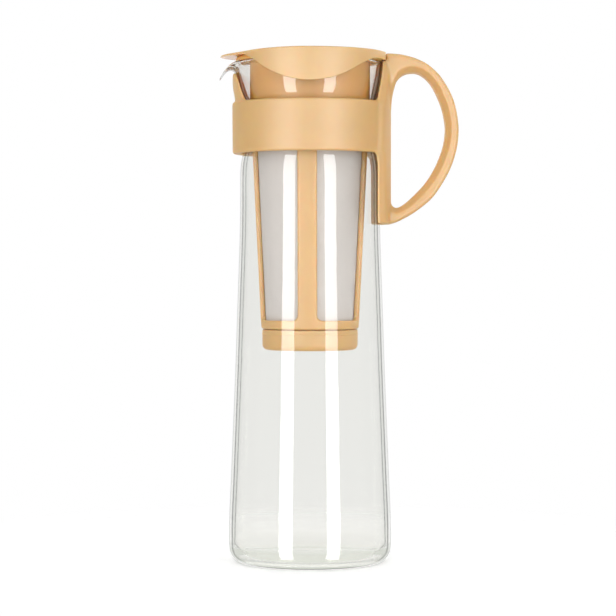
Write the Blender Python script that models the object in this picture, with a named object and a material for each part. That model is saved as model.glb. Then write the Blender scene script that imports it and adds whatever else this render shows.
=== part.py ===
"""Cold brew pot: a glass carafe with a clamped handle band, a lid and a hanging mesh strainer.

Lengths are metres. +Z is up and the origin is on the carafe's axis at its foot.
The spout points to -X and the handle to +X.
"""
import math

import bmesh
import bpy

# Carafe, heat-resistant glass; everything at its neck is placed down from the rim
RIM_HEIGHT = 0.286
BODY_RADIUS = 0.0468
NECK_RADIUS = 0.0368
HEEL_HEIGHT = 0.010
HEEL_INSET = 0.0068
TAPER_START = 0.020
TAPER_END_DROP = 0.102
TAPER_STEP = 0.0003
SHOULDER_START_DROP = 0.064
SHOULDER_END_DROP = 0.043
SHOULDER_STEP = 0.0033
NECK_END_DROP = 0.029
LIP_DROP = 0.018
RIM_FLARE = 0.0055
SPOUT_REACH = 0.0096
SPOUT_HALF_ANGLE = math.radians(29)
GLASS_WALL = 0.0020
GLASS_FLOOR = 0.0035
FOOT_RADIUS = BODY_RADIUS - HEEL_INSET
SHOULDER_RADIUS = NECK_RADIUS + SHOULDER_STEP
TAPER_END_RADIUS = SHOULDER_RADIUS + TAPER_STEP
TAPER_END = RIM_HEIGHT - TAPER_END_DROP
SHOULDER_START = RIM_HEIGHT - SHOULDER_START_DROP
SHOULDER_END = RIM_HEIGHT - SHOULDER_END_DROP
NECK_END = RIM_HEIGHT - NECK_END_DROP
LIP_ROOT = RIM_HEIGHT - LIP_DROP
RIM_RADIUS = NECK_RADIUS + RIM_FLARE
SPOUT_RADIUS = RIM_RADIUS + SPOUT_REACH

# Fits between pieces
SEAT_GAP = 0.0003
RUNNING_GAP = 0.0004
BAND_GAP = 0.0005
OVERRUN = 0.004

# Collar of the handle band
COLLAR_STANDOFF = 0.0078
COLLAR_DRAFT = 0.0003
COLLAR_DROP = 0.0232
COLLAR_HEIGHT = 0.0291
COLLAR_WALL = 0.0024
FLANGE_THICKNESS = 0.0024
EDGE_ROUND = 0.0006
TONGUE_WALL = 0.0022
COLLAR_START_ANGLE = math.radians(-8)
TONGUE_END_ANGLE = math.radians(-4)
SPLIT_ANGLE = math.radians(0.9)
COLLAR_RADIUS = NECK_RADIUS + COLLAR_STANDOFF
COLLAR_TOP_RADIUS = COLLAR_RADIUS + COLLAR_DRAFT
COLLAR_TOP = RIM_HEIGHT - COLLAR_DROP
COLLAR_BOTTOM = COLLAR_TOP - COLLAR_HEIGHT

# Shield under the spout
SHIELD_DROP = 0.0058
SHIELD_INSET = 0.0005
SHIELD_FOOT_INSET = 0.0024
SHIELD_WALL = 0.0015
SHIELD_EDGE_WALL = 0.0009
SHIELD_HALF_ANGLE = math.radians(38)
SHIELD_PEAK = RIM_HEIGHT - SHIELD_DROP
SHIELD_RADIUS = COLLAR_TOP_RADIUS - SHIELD_INSET
SHIELD_FOOT_RADIUS = COLLAR_TOP_RADIUS - SHIELD_FOOT_INSET

# Saddle and loop of the handle
HANDLE_RISE = 0.0056
HANDLE_HEIGHT = 0.0983
SADDLE_STANDOFF = 0.0033
SADDLE_BLEND = 0.0013
SADDLE_WALL = 0.0026
SADDLE_LIP = 0.0024
SADDLE_HALF_ANGLE = math.radians(31)
SADDLE_BLEND_ANGLE = math.radians(7)
LOOP_SINK = 0.0017
LOOP_DEPTH = 0.0416
LOOP_HALF_WIDTH = 0.0110
LOOP_INNER_HALF_WIDTH = 0.0072
LOOP_OUTER_ROUND = 0.0022
LOOP_INNER_ROUND = 0.0016
HANDLE_TOP = RIM_HEIGHT + HANDLE_RISE
HANDLE_BOTTOM = HANDLE_TOP - HANDLE_HEIGHT
SADDLE_RADIUS = RIM_RADIUS + SADDLE_STANDOFF
SADDLE_EDGE_RADIUS = SADDLE_RADIUS - SADDLE_BLEND
LOOP_ROOT_X = SADDLE_RADIUS - LOOP_SINK
LOOP_REACH = LOOP_ROOT_X + LOOP_DEPTH

# Screw that closes the collar behind the saddle
SCREW_DROP = 0.0148
SCREW_HEAD_RADIUS = 0.0030
SCREW_HEAD_HEIGHT = 0.0013
SCREW_RADIUS = 0.0015
SCREW_LENGTH = 0.0062
COUNTERBORE_DEPTH = 0.0012
BOSS_CLEARANCE = 0.0012
BOSS_HALF_HEIGHT = 0.0042
BOSS_START_ANGLE = math.radians(-3.4)
BOSS_END_ANGLE = math.radians(5)
SCREW_HEIGHT = COLLAR_TOP - SCREW_DROP
BOSS_INNER_RADIUS = NECK_RADIUS + BOSS_CLEARANCE

# Strainer frame
FLANGE_OVERHANG = 0.0003
STRAINER_FLANGE_THICKNESS = 0.0023
RING_CLEARANCE = 0.0004
RING_DROP = 0.022
STRAINER_DROP = 0.1532
STRAINER_TAPER = 0.0064
STRAINER_WALL = 0.0022
WINDOW_RISE = 0.0057
WINDOW_DROP = 0.0240
WINDOW_CORNER = 0.0030
RIB_WIDTH = 0.0096
RIB_COUNT = 4
RIB_TURN = math.radians(-4.5)
SPIGOT_STEP = 0.0037
SPIGOT_WALL = 0.0018
SPIGOT_LENGTH = 0.0085
LEDGE_HEIGHT = 0.0018
STRAINER_FLANGE_RADIUS = RIM_RADIUS + FLANGE_OVERHANG
STRAINER_RING_RADIUS = NECK_RADIUS - GLASS_WALL - RING_CLEARANCE
STRAINER_RING_BOTTOM = RIM_HEIGHT - RING_DROP
STRAINER_FOOT_RADIUS = STRAINER_RING_RADIUS - STRAINER_TAPER
STRAINER_FOOT = RIM_HEIGHT - STRAINER_DROP
WINDOW_BOTTOM = STRAINER_FOOT + WINDOW_RISE
WINDOW_TOP = STRAINER_RING_BOTTOM - WINDOW_DROP
SPIGOT_RADIUS = STRAINER_FOOT_RADIUS - SPIGOT_STEP

# Bayonet between the spigot and the cap
LUG_COUNT = 3
LUG_REACH = 0.0011
LUG_HEIGHT = 0.0020
LUG_RISE = 0.0022
LUG_HALF_ANGLE = math.radians(9)
CAP_TURN = math.radians(45)
SLOT_CLEAR_ANGLE = math.radians(1)

# Strainer mesh
MESH_THICKNESS = 0.0005
MESH_OVERLAP = 0.0060

# Cap of the strainer
CAP_STEP = 0.0006
CAP_HEIGHT = 0.0114
CAP_CORNER = 0.0030
CAP_FLOOR = 0.0021
CAP_BEAD_DROP = 0.0020
CAP_BEAD_HEIGHT = 0.0008
CAP_BEAD_REACH = 0.0002
CAP_RADIUS = STRAINER_FOOT_RADIUS - CAP_STEP
CAP_BOTTOM = STRAINER_FOOT - CAP_HEIGHT

# Lid
LID_RISE = 0.0063
LID_CROWN = 0.0006
LID_OVERHANG = 0.0026
LID_PLATE = 0.0019
LID_RIM_WIDTH = 0.0044
LID_ROUND = 0.0005
LID_CENTRE_RADIUS = 0.0150
TAIL_CUT = 0.0018
TAIL_HANG = 0.0025
TAIL_WALL = 0.0015
PLUG_DROP = 0.0080
PLUG_WALL = 0.0018
VISOR_REACH = 0.0066
VISOR_DROP = 0.0013
VISOR_HALF_ANGLE = math.radians(33)
FLAP_DROP = 0.0135
FLAP_WALL = 0.0018
FLAP_SPREAD = 0.0006
LID_TOP = RIM_HEIGHT + LID_RISE
LID_EDGE_TOP = LID_TOP - LID_CROWN
LID_RADIUS = RIM_RADIUS + LID_OVERHANG
LID_TAIL_X = LID_RADIUS - TAIL_CUT
PLUG_BOTTOM = RIM_HEIGHT - PLUG_DROP
FLAP_BOTTOM = RIM_HEIGHT - FLAP_DROP
FLAP_ARC_RADIUS = LID_RADIUS + FLAP_SPREAD

# Facets round a full turn
GLASS_FINE_STEPS = 18
GLASS_COARSE_STEPS = 40
GLASS_FINE_ANGLE = math.radians(36)
TURN_STEPS = 48
SCREW_STEPS = 16
LID_STEPS = 72
BAND_STEP = math.radians(6)
MERGE_DISTANCE = 0.00001
SHARP_ANGLE = math.radians(32)

# Flare of the rim from the neck: share of the height, share of the radius
FLARE_SHARES = ((0.0, 0.0), (0.24, 0.13))
# From the lip's root to the rim: share of the height, share of the neck's flare
LIP_SHARES = (
    (0.0, 0.47), (0.22, 0.62), (0.44, 0.76), (0.61, 0.85),
    (0.75, 0.91), (0.84, 0.95), (0.91, 0.98), (0.96, 1.0),
)
# The same stations along the spout's middle, under the glass and over it:
# share of the way from the neck's radius to the spout's, share of the lip's height
SPOUT_UNDER_SHARES = (
    (0.205, 0.0), (0.278, 0.22), (0.331, 0.47), (0.384, 0.67),
    (0.49, 0.772), (0.649, 0.789), (0.808, 0.70), (0.94, 0.50),
)
SPOUT_OVER_SHARES = (
    (0.073, 0.0), (0.146, 0.22), (0.205, 0.47), (0.272, 0.70),
    (0.411, 0.872), (0.623, 0.911), (0.768, 0.833), (0.985, 0.56),
)
SPOUT_TIP_SHARES = (1.0, 0.46)
RIM_CENTRE_SHARE = 0.5

# Shield outline: share of its height, share of its half angle, share of its lean
SHIELD_SHARES = (
    (0.0, 1.04, 0.0), (0.08, 1.0, 0.05), (0.31, 0.85, 0.55),
    (0.57, 0.74, 1.0), (0.82, 0.595, 1.0), (0.95, 0.50, 0.93), (1.0, 0.36, 0.88),
)

# Saddle outline: share of the handle's height, share of its half angle
SADDLE_SHARES = (
    (0.0, 0.96), (0.018, 1.0), (0.024, 1.0), (0.2, 1.0),
    (0.699, 1.0), (0.760, 0.923), (0.841, 0.790), (0.892, 0.684), (0.943, 0.60),
)
# Places across the saddle, as shares of its half angle
SADDLE_OUTER_SHARES = (-1.0, -0.93, -0.86, -0.77, -0.5, -0.25, 0.0, 0.25, 0.5, 0.77, 0.86, 0.93, 1.0)
SADDLE_INNER_SHARES = (1.0, 0.90, 0.88, 0.6, 0.3, 0.0, -0.3, -0.6, -0.88, -0.90, -1.0)
SADDLE_LIP_SHARE = 0.89

# Loop outline, top root to bottom root: outer side and inner side,
# each as share of the reach and share of the handle's height
LOOP_SHARES = (
    (0.0, 1.0, 0.0, 0.638),
    (0.135, 0.998, 0.089, 0.724),
    (0.267, 0.988, 0.175, 0.842),
    (0.411, 0.970, 0.298, 0.883),
    (0.577, 0.938, 0.447, 0.876),
    (0.755, 0.866, 0.601, 0.818),
    (0.909, 0.755, 0.733, 0.704),
    (0.983, 0.638, 0.788, 0.602),
    (1.0, 0.536, 0.791, 0.531),
    (0.962, 0.438, 0.760, 0.447),
    (0.882, 0.331, 0.671, 0.346),
    (0.755, 0.232, 0.546, 0.256),
    (0.615, 0.148, 0.397, 0.183),
    (0.397, 0.072, 0.255, 0.129),
    (0.195, 0.023, 0.132, 0.111),
    (0.0, 0.0, 0.0, 0.221),
)
LOOP_STEPS = 2
LOOP_CREASE_SHARE = 0.42
LOOP_CREASE_WIDTH_SHARE = 0.96
ROUND_CORNER_SHARE = 0.3


def smooth_step(share):
    """Eases a share from 0 to 1."""
    share = min(max(share, 0.0), 1.0)
    return share * share * (3 - 2 * share)


def between(low, high, share):
    """The value at a share of the way from low to high."""
    return low + (high - low) * share


def at(radius, angle, height):
    """A point from its radius, its angle from +X and its height."""
    return (radius * math.cos(angle), radius * math.sin(angle), height)


def table_value(table, place):
    """Reads a table of (place, value) rows along straight lines."""
    for (low, low_value), (high, high_value) in zip(table, table[1:]):
        if place <= high:
            return between(low_value, high_value, (place - low) / (high - low))
    return table[-1][1]


def loft(bm, rings):
    """Skins closed rings of points, one after another, and caps both ends."""
    loops = [[bm.verts.new(point) for point in ring] for ring in rings]
    count = len(loops[0])
    for low, high in zip(loops, loops[1:]):
        for i in range(count):
            j = (i + 1) % count
            bm.faces.new((low[i], low[j], high[j], high[i]))
    bm.faces.new(reversed(loops[0]))
    bm.faces.new(loops[-1])


def turned(bm, outline, closed, steps=TURN_STEPS):
    """Turns an outline of (radius, height) points about the Z axis."""
    verts = [bm.verts.new((radius, 0, height)) for radius, height in outline]
    edges = [bm.edges.new(pair) for pair in zip(verts, verts[1:])]
    if closed:
        edges.append(bm.edges.new((verts[-1], verts[0])))
    bmesh.ops.spin(
        bm, geom=verts + edges, cent=(0, 0, 0), axis=(0, 0, 1),
        angle=math.tau, steps=steps, use_merge=True,
    )
    bmesh.ops.remove_doubles(bm, verts=bm.verts, dist=MERGE_DISTANCE)


def add_object(name, bm, material=None):
    """Makes an object of a finished bmesh; one without a material is a tool for booleans."""
    bmesh.ops.recalc_face_normals(bm, faces=bm.faces)
    mesh = bpy.data.meshes.new(name)
    bm.to_mesh(mesh)
    bm.free()
    piece = bpy.data.objects.new(name, mesh)
    bpy.context.scene.collection.objects.link(piece)
    if material is None:
        piece.hide_render = True
        piece.display_type = 'WIRE'
        return piece
    mesh.materials.append(material)
    mesh.shade_smooth()
    mesh.set_sharp_from_angle(angle=SHARP_ANGLE)
    return piece


def boolean(piece, tool, operation):
    """Adds a live boolean to a piece."""
    modifier = piece.modifiers.new(tool.name, 'BOOLEAN')
    modifier.object = tool
    modifier.operation = operation
    modifier.solver = 'EXACT'


def finish(name, colour, roughness, metallic=0.0, transmission=0.0, alpha=1.0):
    """A plain Principled material."""
    material = bpy.data.materials.new(name)
    material.use_nodes = True
    shader = material.node_tree.nodes["Principled BSDF"]
    shader.inputs["Base Color"].default_value = (*colour, 1.0)
    shader.inputs["Roughness"].default_value = roughness
    shader.inputs["Metallic"].default_value = metallic
    shader.inputs["Transmission Weight"].default_value = transmission
    shader.inputs["Alpha"].default_value = alpha
    material.diffuse_color = (*colour, alpha)
    return material


def glass_outline():
    """The carafe's outer (radius, height) points from the heel to the lip's root."""
    points = []
    for share in (0.0, 1 / 3, 2 / 3, 1.0):
        turn = share * math.pi / 2
        radius = between(FOOT_RADIUS, BODY_RADIUS, math.sin(turn))
        points.append((radius, HEEL_HEIGHT * (1 - math.cos(turn))))
    points.append((BODY_RADIUS, TAPER_START))
    points.append((TAPER_END_RADIUS, TAPER_END))
    for share in (0.0, 0.25, 0.5, 0.75, 1.0):
        radius = between(SHOULDER_RADIUS, NECK_RADIUS, smooth_step(share))
        points.append((radius, between(SHOULDER_START, SHOULDER_END, share)))
    for rise, flare in FLARE_SHARES:
        radius = between(NECK_RADIUS, RIM_RADIUS, flare)
        points.append((radius, between(NECK_END, RIM_HEIGHT, rise)))
    return points


def lip_outline():
    """The flare's outer (radius, height) points from the lip's root to the rim."""
    return [
        (between(NECK_RADIUS, RIM_RADIUS, flare), between(LIP_ROOT, RIM_HEIGHT, rise))
        for rise, flare in LIP_SHARES
    ]


def glass_radius(height):
    """The carafe's outer radius at a height, away from the spout."""
    rows = [(z, radius) for radius, z in glass_outline() + lip_outline()]
    return table_value(rows, height)


def spout_point(shares):
    """A (radius, height) point in the middle of the spout from its two shares."""
    reach, rise = shares
    return (between(NECK_RADIUS, SPOUT_RADIUS, reach), between(LIP_ROOT, RIM_HEIGHT, rise))


def carafe_angles():
    """Angles round the carafe, closer together across the spout."""
    start = math.pi - GLASS_FINE_ANGLE
    fine = [start + 2 * GLASS_FINE_ANGLE * i / GLASS_FINE_STEPS for i in range(GLASS_FINE_STEPS)]
    rest = math.tau - 2 * GLASS_FINE_ANGLE
    start = math.pi + GLASS_FINE_ANGLE
    return fine + [start + rest * i / GLASS_COARSE_STEPS for i in range(GLASS_COARSE_STEPS)]


def carafe_ring(plain, spout):
    """One ring of the carafe, pulled from its plain point to its spout point about -X."""
    ring = []
    for angle in carafe_angles():
        away = abs(angle - math.pi)
        pull = 0.0
        if away < SPOUT_HALF_ANGLE:
            pull = (1 + math.cos(math.pi * away / SPOUT_HALF_ANGLE)) / 2
        radius = between(plain[0], spout[0], pull)
        ring.append(at(radius, angle, between(plain[1], spout[1], pull ** 3)))
    return ring


def make_carafe():
    """The glass: foot, tapered body, shoulder, neck and a flared rim with its pouring lip."""
    outside = glass_outline()
    inside = [(radius - GLASS_WALL, height) for radius, height in outside[4:]]
    floor = []
    for share in (1.0, 2 / 3, 1 / 3, 0.0):
        turn = share * math.pi / 2
        radius = between(FOOT_RADIUS, BODY_RADIUS, math.sin(turn)) - GLASS_WALL
        floor.append((radius, between(GLASS_FLOOR, HEEL_HEIGHT + GLASS_WALL, 1 - math.cos(turn))))
    lip = lip_outline()
    rim = (RIM_RADIUS - RIM_CENTRE_SHARE * GLASS_WALL, RIM_HEIGHT)
    rings = [carafe_ring(point, point) for point in outside]
    rings += [carafe_ring(p, spout_point(s)) for p, s in zip(lip, SPOUT_UNDER_SHARES)]
    rings.append(carafe_ring(rim, spout_point(SPOUT_TIP_SHARES)))
    for point, shares in reversed(list(zip(lip, SPOUT_OVER_SHARES))):
        rings.append(carafe_ring((point[0] - GLASS_WALL, point[1]), spout_point(shares)))
    rings += [carafe_ring(point, point) for point in reversed(inside)]
    rings += [carafe_ring(point, point) for point in floor]
    bm = bmesh.new()
    loft(bm, rings)
    return add_object("glass_carafe", bm, finish("clear_glass", (0.86, 0.90, 0.88), 0.03, 0.0, 1.0))


def collar_section(radius, top_radius, wall):
    """The collar's channel section: a wall with a flange at its top and bottom."""
    low = glass_radius(COLLAR_BOTTOM) + SEAT_GAP
    high = glass_radius(COLLAR_TOP) + SEAT_GAP
    return (
        (low, COLLAR_BOTTOM),
        (radius - EDGE_ROUND, COLLAR_BOTTOM),
        (radius, COLLAR_BOTTOM + EDGE_ROUND),
        (top_radius, COLLAR_TOP - EDGE_ROUND),
        (top_radius - EDGE_ROUND, COLLAR_TOP),
        (high, COLLAR_TOP),
        (high, COLLAR_TOP - FLANGE_THICKNESS),
        (radius - wall, COLLAR_TOP - FLANGE_THICKNESS),
        (radius - wall, COLLAR_BOTTOM + FLANGE_THICKNESS),
        (low, COLLAR_BOTTOM + FLANGE_THICKNESS),
    )


def make_collar():
    """The collar, open behind the saddle, where its loose end runs under as a thinner tongue."""
    full = collar_section(COLLAR_RADIUS, COLLAR_TOP_RADIUS, COLLAR_WALL)
    tongue_radius = SADDLE_RADIUS - SADDLE_WALL - RUNNING_GAP
    tongue = collar_section(tongue_radius, tongue_radius, TONGUE_WALL)
    step_angle = SADDLE_HALF_ANGLE + SPLIT_ANGLE - math.tau
    steps = round((COLLAR_START_ANGLE - step_angle) / BAND_STEP)
    angles = [between(COLLAR_START_ANGLE, step_angle, i / steps) for i in range(steps + 1)]
    rings = [[at(radius, angle, z) for radius, z in full] for angle in angles]
    tongue_start = step_angle - SPLIT_ANGLE / 3
    tongue_end = TONGUE_END_ANGLE - math.tau
    steps = round((tongue_start - tongue_end) / BAND_STEP)
    angles = [between(tongue_start, tongue_end, i / steps) for i in range(steps + 1)]
    rings += [[at(radius, angle, z) for radius, z in tongue] for angle in angles]
    bm = bmesh.new()
    loft(bm, rings)
    return bm


def saddle_ring(share, half_angle):
    """One level of the saddle: its rounded outside, then its inside with the lip at each edge."""
    height = between(HANDLE_BOTTOM, HANDLE_TOP, share)
    pocket = SADDLE_RADIUS - SADDLE_WALL
    lip = min(glass_radius(height) + BAND_GAP, pocket)
    beside_collar = COLLAR_BOTTOM - BAND_GAP <= height <= COLLAR_TOP + BAND_GAP
    ring = []
    for place in SADDLE_OUTER_SHARES:
        rise = smooth_step((1 - abs(place)) * half_angle / SADDLE_BLEND_ANGLE)
        radius = between(SADDLE_EDGE_RADIUS, SADDLE_RADIUS, rise)
        ring.append(at(radius, place * half_angle, height))
    for place in SADDLE_INNER_SHARES:
        in_lip = abs(place) > SADDLE_LIP_SHARE or height < HANDLE_BOTTOM + SADDLE_LIP
        radius = lip if in_lip and not beside_collar else pocket
        ring.append(at(radius, place * half_angle, height))
    return ring


def make_saddle():
    """The shell that carries the loop and covers the collar's joint."""
    tall = HANDLE_TOP - HANDLE_BOTTOM
    shares = {share for share, _ in SADDLE_SHARES}
    for edge in (COLLAR_BOTTOM, COLLAR_TOP):
        side = -1 if edge == COLLAR_BOTTOM else 1
        shares.add((edge + side * BAND_GAP - HANDLE_BOTTOM) / tall)
        shares.add((edge + 2 * side * BAND_GAP - HANDLE_BOTTOM) / tall)
    shares.add(SADDLE_LIP / tall)
    for share in (0.0, 0.25):
        shoulder = between(SHOULDER_START, SHOULDER_END, share)
        shares.add((shoulder - HANDLE_BOTTOM) / tall)
    rings = []
    for share in sorted(shares):
        half_angle = table_value(SADDLE_SHARES, share) * SADDLE_HALF_ANGLE
        rings.append(saddle_ring(share, half_angle))
    bm = bmesh.new()
    loft(bm, rings)
    return bm


def loop_stations():
    """The loop's outline rows with a smooth curve through them."""
    rows = LOOP_SHARES
    stations = [rows[0]]
    for i in range(len(rows) - 1):
        before = rows[max(i - 1, 0)]
        after = rows[min(i + 2, len(rows) - 1)]
        for step in range(1, LOOP_STEPS + 1):
            t = step / LOOP_STEPS
            stations.append(tuple(
                ((2 * b) + (c - a) * t + (2 * a - 5 * b + 4 * c - d) * t ** 2
                 + (3 * b - a - 3 * c + d) * t ** 3) / 2
                for a, b, c, d in zip(before, rows[i], rows[i + 1], after)
            ))
    return stations


def make_loop():
    """The D-shaped loop: broad and rounded outside, narrower where the fingers go."""
    rings = []
    for outer_x, outer_z, inner_x, inner_z in loop_stations():
        outer = (between(LOOP_ROOT_X, LOOP_REACH, outer_x), between(HANDLE_BOTTOM, HANDLE_TOP, outer_z))
        inner = (between(LOOP_ROOT_X, LOOP_REACH, inner_x), between(HANDLE_BOTTOM, HANDLE_TOP, inner_z))
        depth = math.dist(outer, inner)
        corner = ROUND_CORNER_SHARE * LOOP_OUTER_ROUND
        half = (
            (LOOP_HALF_WIDTH - LOOP_OUTER_ROUND, depth),
            (LOOP_HALF_WIDTH - corner, depth - corner),
            (LOOP_HALF_WIDTH, depth - LOOP_OUTER_ROUND),
            (LOOP_HALF_WIDTH * LOOP_CREASE_WIDTH_SHARE, depth * LOOP_CREASE_SHARE),
            (LOOP_INNER_HALF_WIDTH, LOOP_INNER_ROUND * ROUND_CORNER_SHARE),
            (LOOP_INNER_HALF_WIDTH - LOOP_INNER_ROUND, 0.0),
        )
        section = half + tuple((-y, s) for y, s in reversed(half))
        rings.append([
            (
                between(inner[0], outer[0], s / depth),
                y,
                between(inner[1], outer[1], s / depth),
            )
            for y, s in section
        ])
    bm = bmesh.new()
    loft(bm, rings)
    return bm


def make_shield():
    """The pointed shield that stands on the collar under the spout."""
    foot = COLLAR_TOP - FLANGE_THICKNESS / 2
    rings = []
    for rise, width, lean in SHIELD_SHARES:
        height = between(foot, SHIELD_PEAK, rise)
        outer = between(SHIELD_FOOT_RADIUS, SHIELD_RADIUS, lean)
        wall = between(SHIELD_WALL, SHIELD_EDGE_WALL, smooth_step(2 * rise - 1))
        half_angle = width * SHIELD_HALF_ANGLE
        steps = round(2 * SHIELD_HALF_ANGLE / BAND_STEP)
        sweep = [math.pi + half_angle * (2 * i / steps - 1) for i in range(steps + 1)]
        ring = [at(outer, angle, height) for angle in sweep]
        ring += [at(outer - wall, angle, height) for angle in reversed(sweep)]
        rings.append(ring)
    bm = bmesh.new()
    loft(bm, rings)
    return bm


def make_boss():
    """The block on the tongue that the screw bites into."""
    outer = SADDLE_RADIUS - SADDLE_WALL - RUNNING_GAP - TONGUE_WALL / 2
    corners = (
        (BOSS_INNER_RADIUS, SCREW_HEIGHT - BOSS_HALF_HEIGHT),
        (outer, SCREW_HEIGHT - BOSS_HALF_HEIGHT),
        (outer, SCREW_HEIGHT + BOSS_HALF_HEIGHT),
        (BOSS_INNER_RADIUS, SCREW_HEIGHT + BOSS_HALF_HEIGHT),
    )
    middle = (BOSS_START_ANGLE + BOSS_END_ANGLE) / 2
    bm = bmesh.new()
    loft(bm, [
        [at(radius, angle, z) for radius, z in corners]
        for angle in (BOSS_START_ANGLE, middle, BOSS_END_ANGLE)
    ])
    return bm


def screw_seat_x():
    """Where the screw's head sits in the saddle's spine."""
    return SADDLE_RADIUS - COUNTERBORE_DEPTH


def lay_on_screw_axis(bm):
    """Turns a shape made about Z to run along +X at the screw's height."""
    turn = ((0, 0, 1), (0, 1, 0), (-1, 0, 0))
    for vert in bm.verts:
        x, y, z = vert.co
        vert.co = [row[0] * x + row[1] * y + row[2] * z for row in turn]
    bmesh.ops.translate(bm, verts=bm.verts, vec=(0, 0, SCREW_HEIGHT))


def make_band():
    """The handle band: collar, shield, saddle and loop are one moulding."""
    hole = SCREW_RADIUS + SEAT_GAP
    head_hole = SCREW_HEAD_RADIUS + SEAT_GAP
    hole_bm = bmesh.new()
    turned(hole_bm, (
        (0, BOSS_INNER_RADIUS - OVERRUN),
        (hole, BOSS_INNER_RADIUS - OVERRUN),
        (hole, screw_seat_x()),
        (head_hole, screw_seat_x()),
        (head_hole, SADDLE_RADIUS + OVERRUN),
        (0, SADDLE_RADIUS + OVERRUN),
    ), closed=False, steps=SCREW_STEPS)
    lay_on_screw_axis(hole_bm)
    plastic = finish("brown_polypropylene", (0.80, 0.55, 0.29), 0.38)
    band = add_object("handle_band", make_saddle(), plastic)
    boolean(band, add_object("tool_collar", make_collar()), 'UNION')
    boolean(band, add_object("tool_loop", make_loop()), 'UNION')
    boolean(band, add_object("tool_shield", make_shield()), 'UNION')
    boolean(band, add_object("tool_boss", make_boss()), 'UNION')
    boolean(band, add_object("tool_screw_hole", hole_bm), 'DIFFERENCE')
    return band


def make_screw():
    """A small pan-head screw through the saddle's spine into the tongue's boss."""
    seat = screw_seat_x() + SEAT_GAP
    bm = bmesh.new()
    turned(bm, (
        (0, seat - SCREW_LENGTH),
        (SCREW_RADIUS - EDGE_ROUND, seat - SCREW_LENGTH),
        (SCREW_RADIUS, seat - SCREW_LENGTH + EDGE_ROUND),
        (SCREW_RADIUS, seat),
        (SCREW_HEAD_RADIUS, seat),
        (SCREW_HEAD_RADIUS, seat + SCREW_HEAD_HEIGHT - EDGE_ROUND),
        (SCREW_HEAD_RADIUS - EDGE_ROUND, seat + SCREW_HEAD_HEIGHT),
        (0, seat + SCREW_HEAD_HEIGHT),
    ), closed=False, steps=SCREW_STEPS)
    lay_on_screw_axis(bm)
    return add_object("band_screw", bm, finish("stainless_steel", (0.62, 0.62, 0.60), 0.25, 1.0))


def strainer_radius(height):
    """The strainer frame's outer radius at a height."""
    share = (height - STRAINER_FOOT) / (STRAINER_RING_BOTTOM - STRAINER_FOOT)
    return between(STRAINER_FOOT_RADIUS, STRAINER_RING_RADIUS, min(share, 1.0))


def lug_bottom():
    """The underside of the spigot's lugs."""
    return STRAINER_FOOT - SPIGOT_LENGTH + LUG_RISE


def tail_inside_x():
    """The inner face of the lid's tail; the strainer's flange has a flat behind it."""
    return LID_TAIL_X - TAIL_WALL


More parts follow.
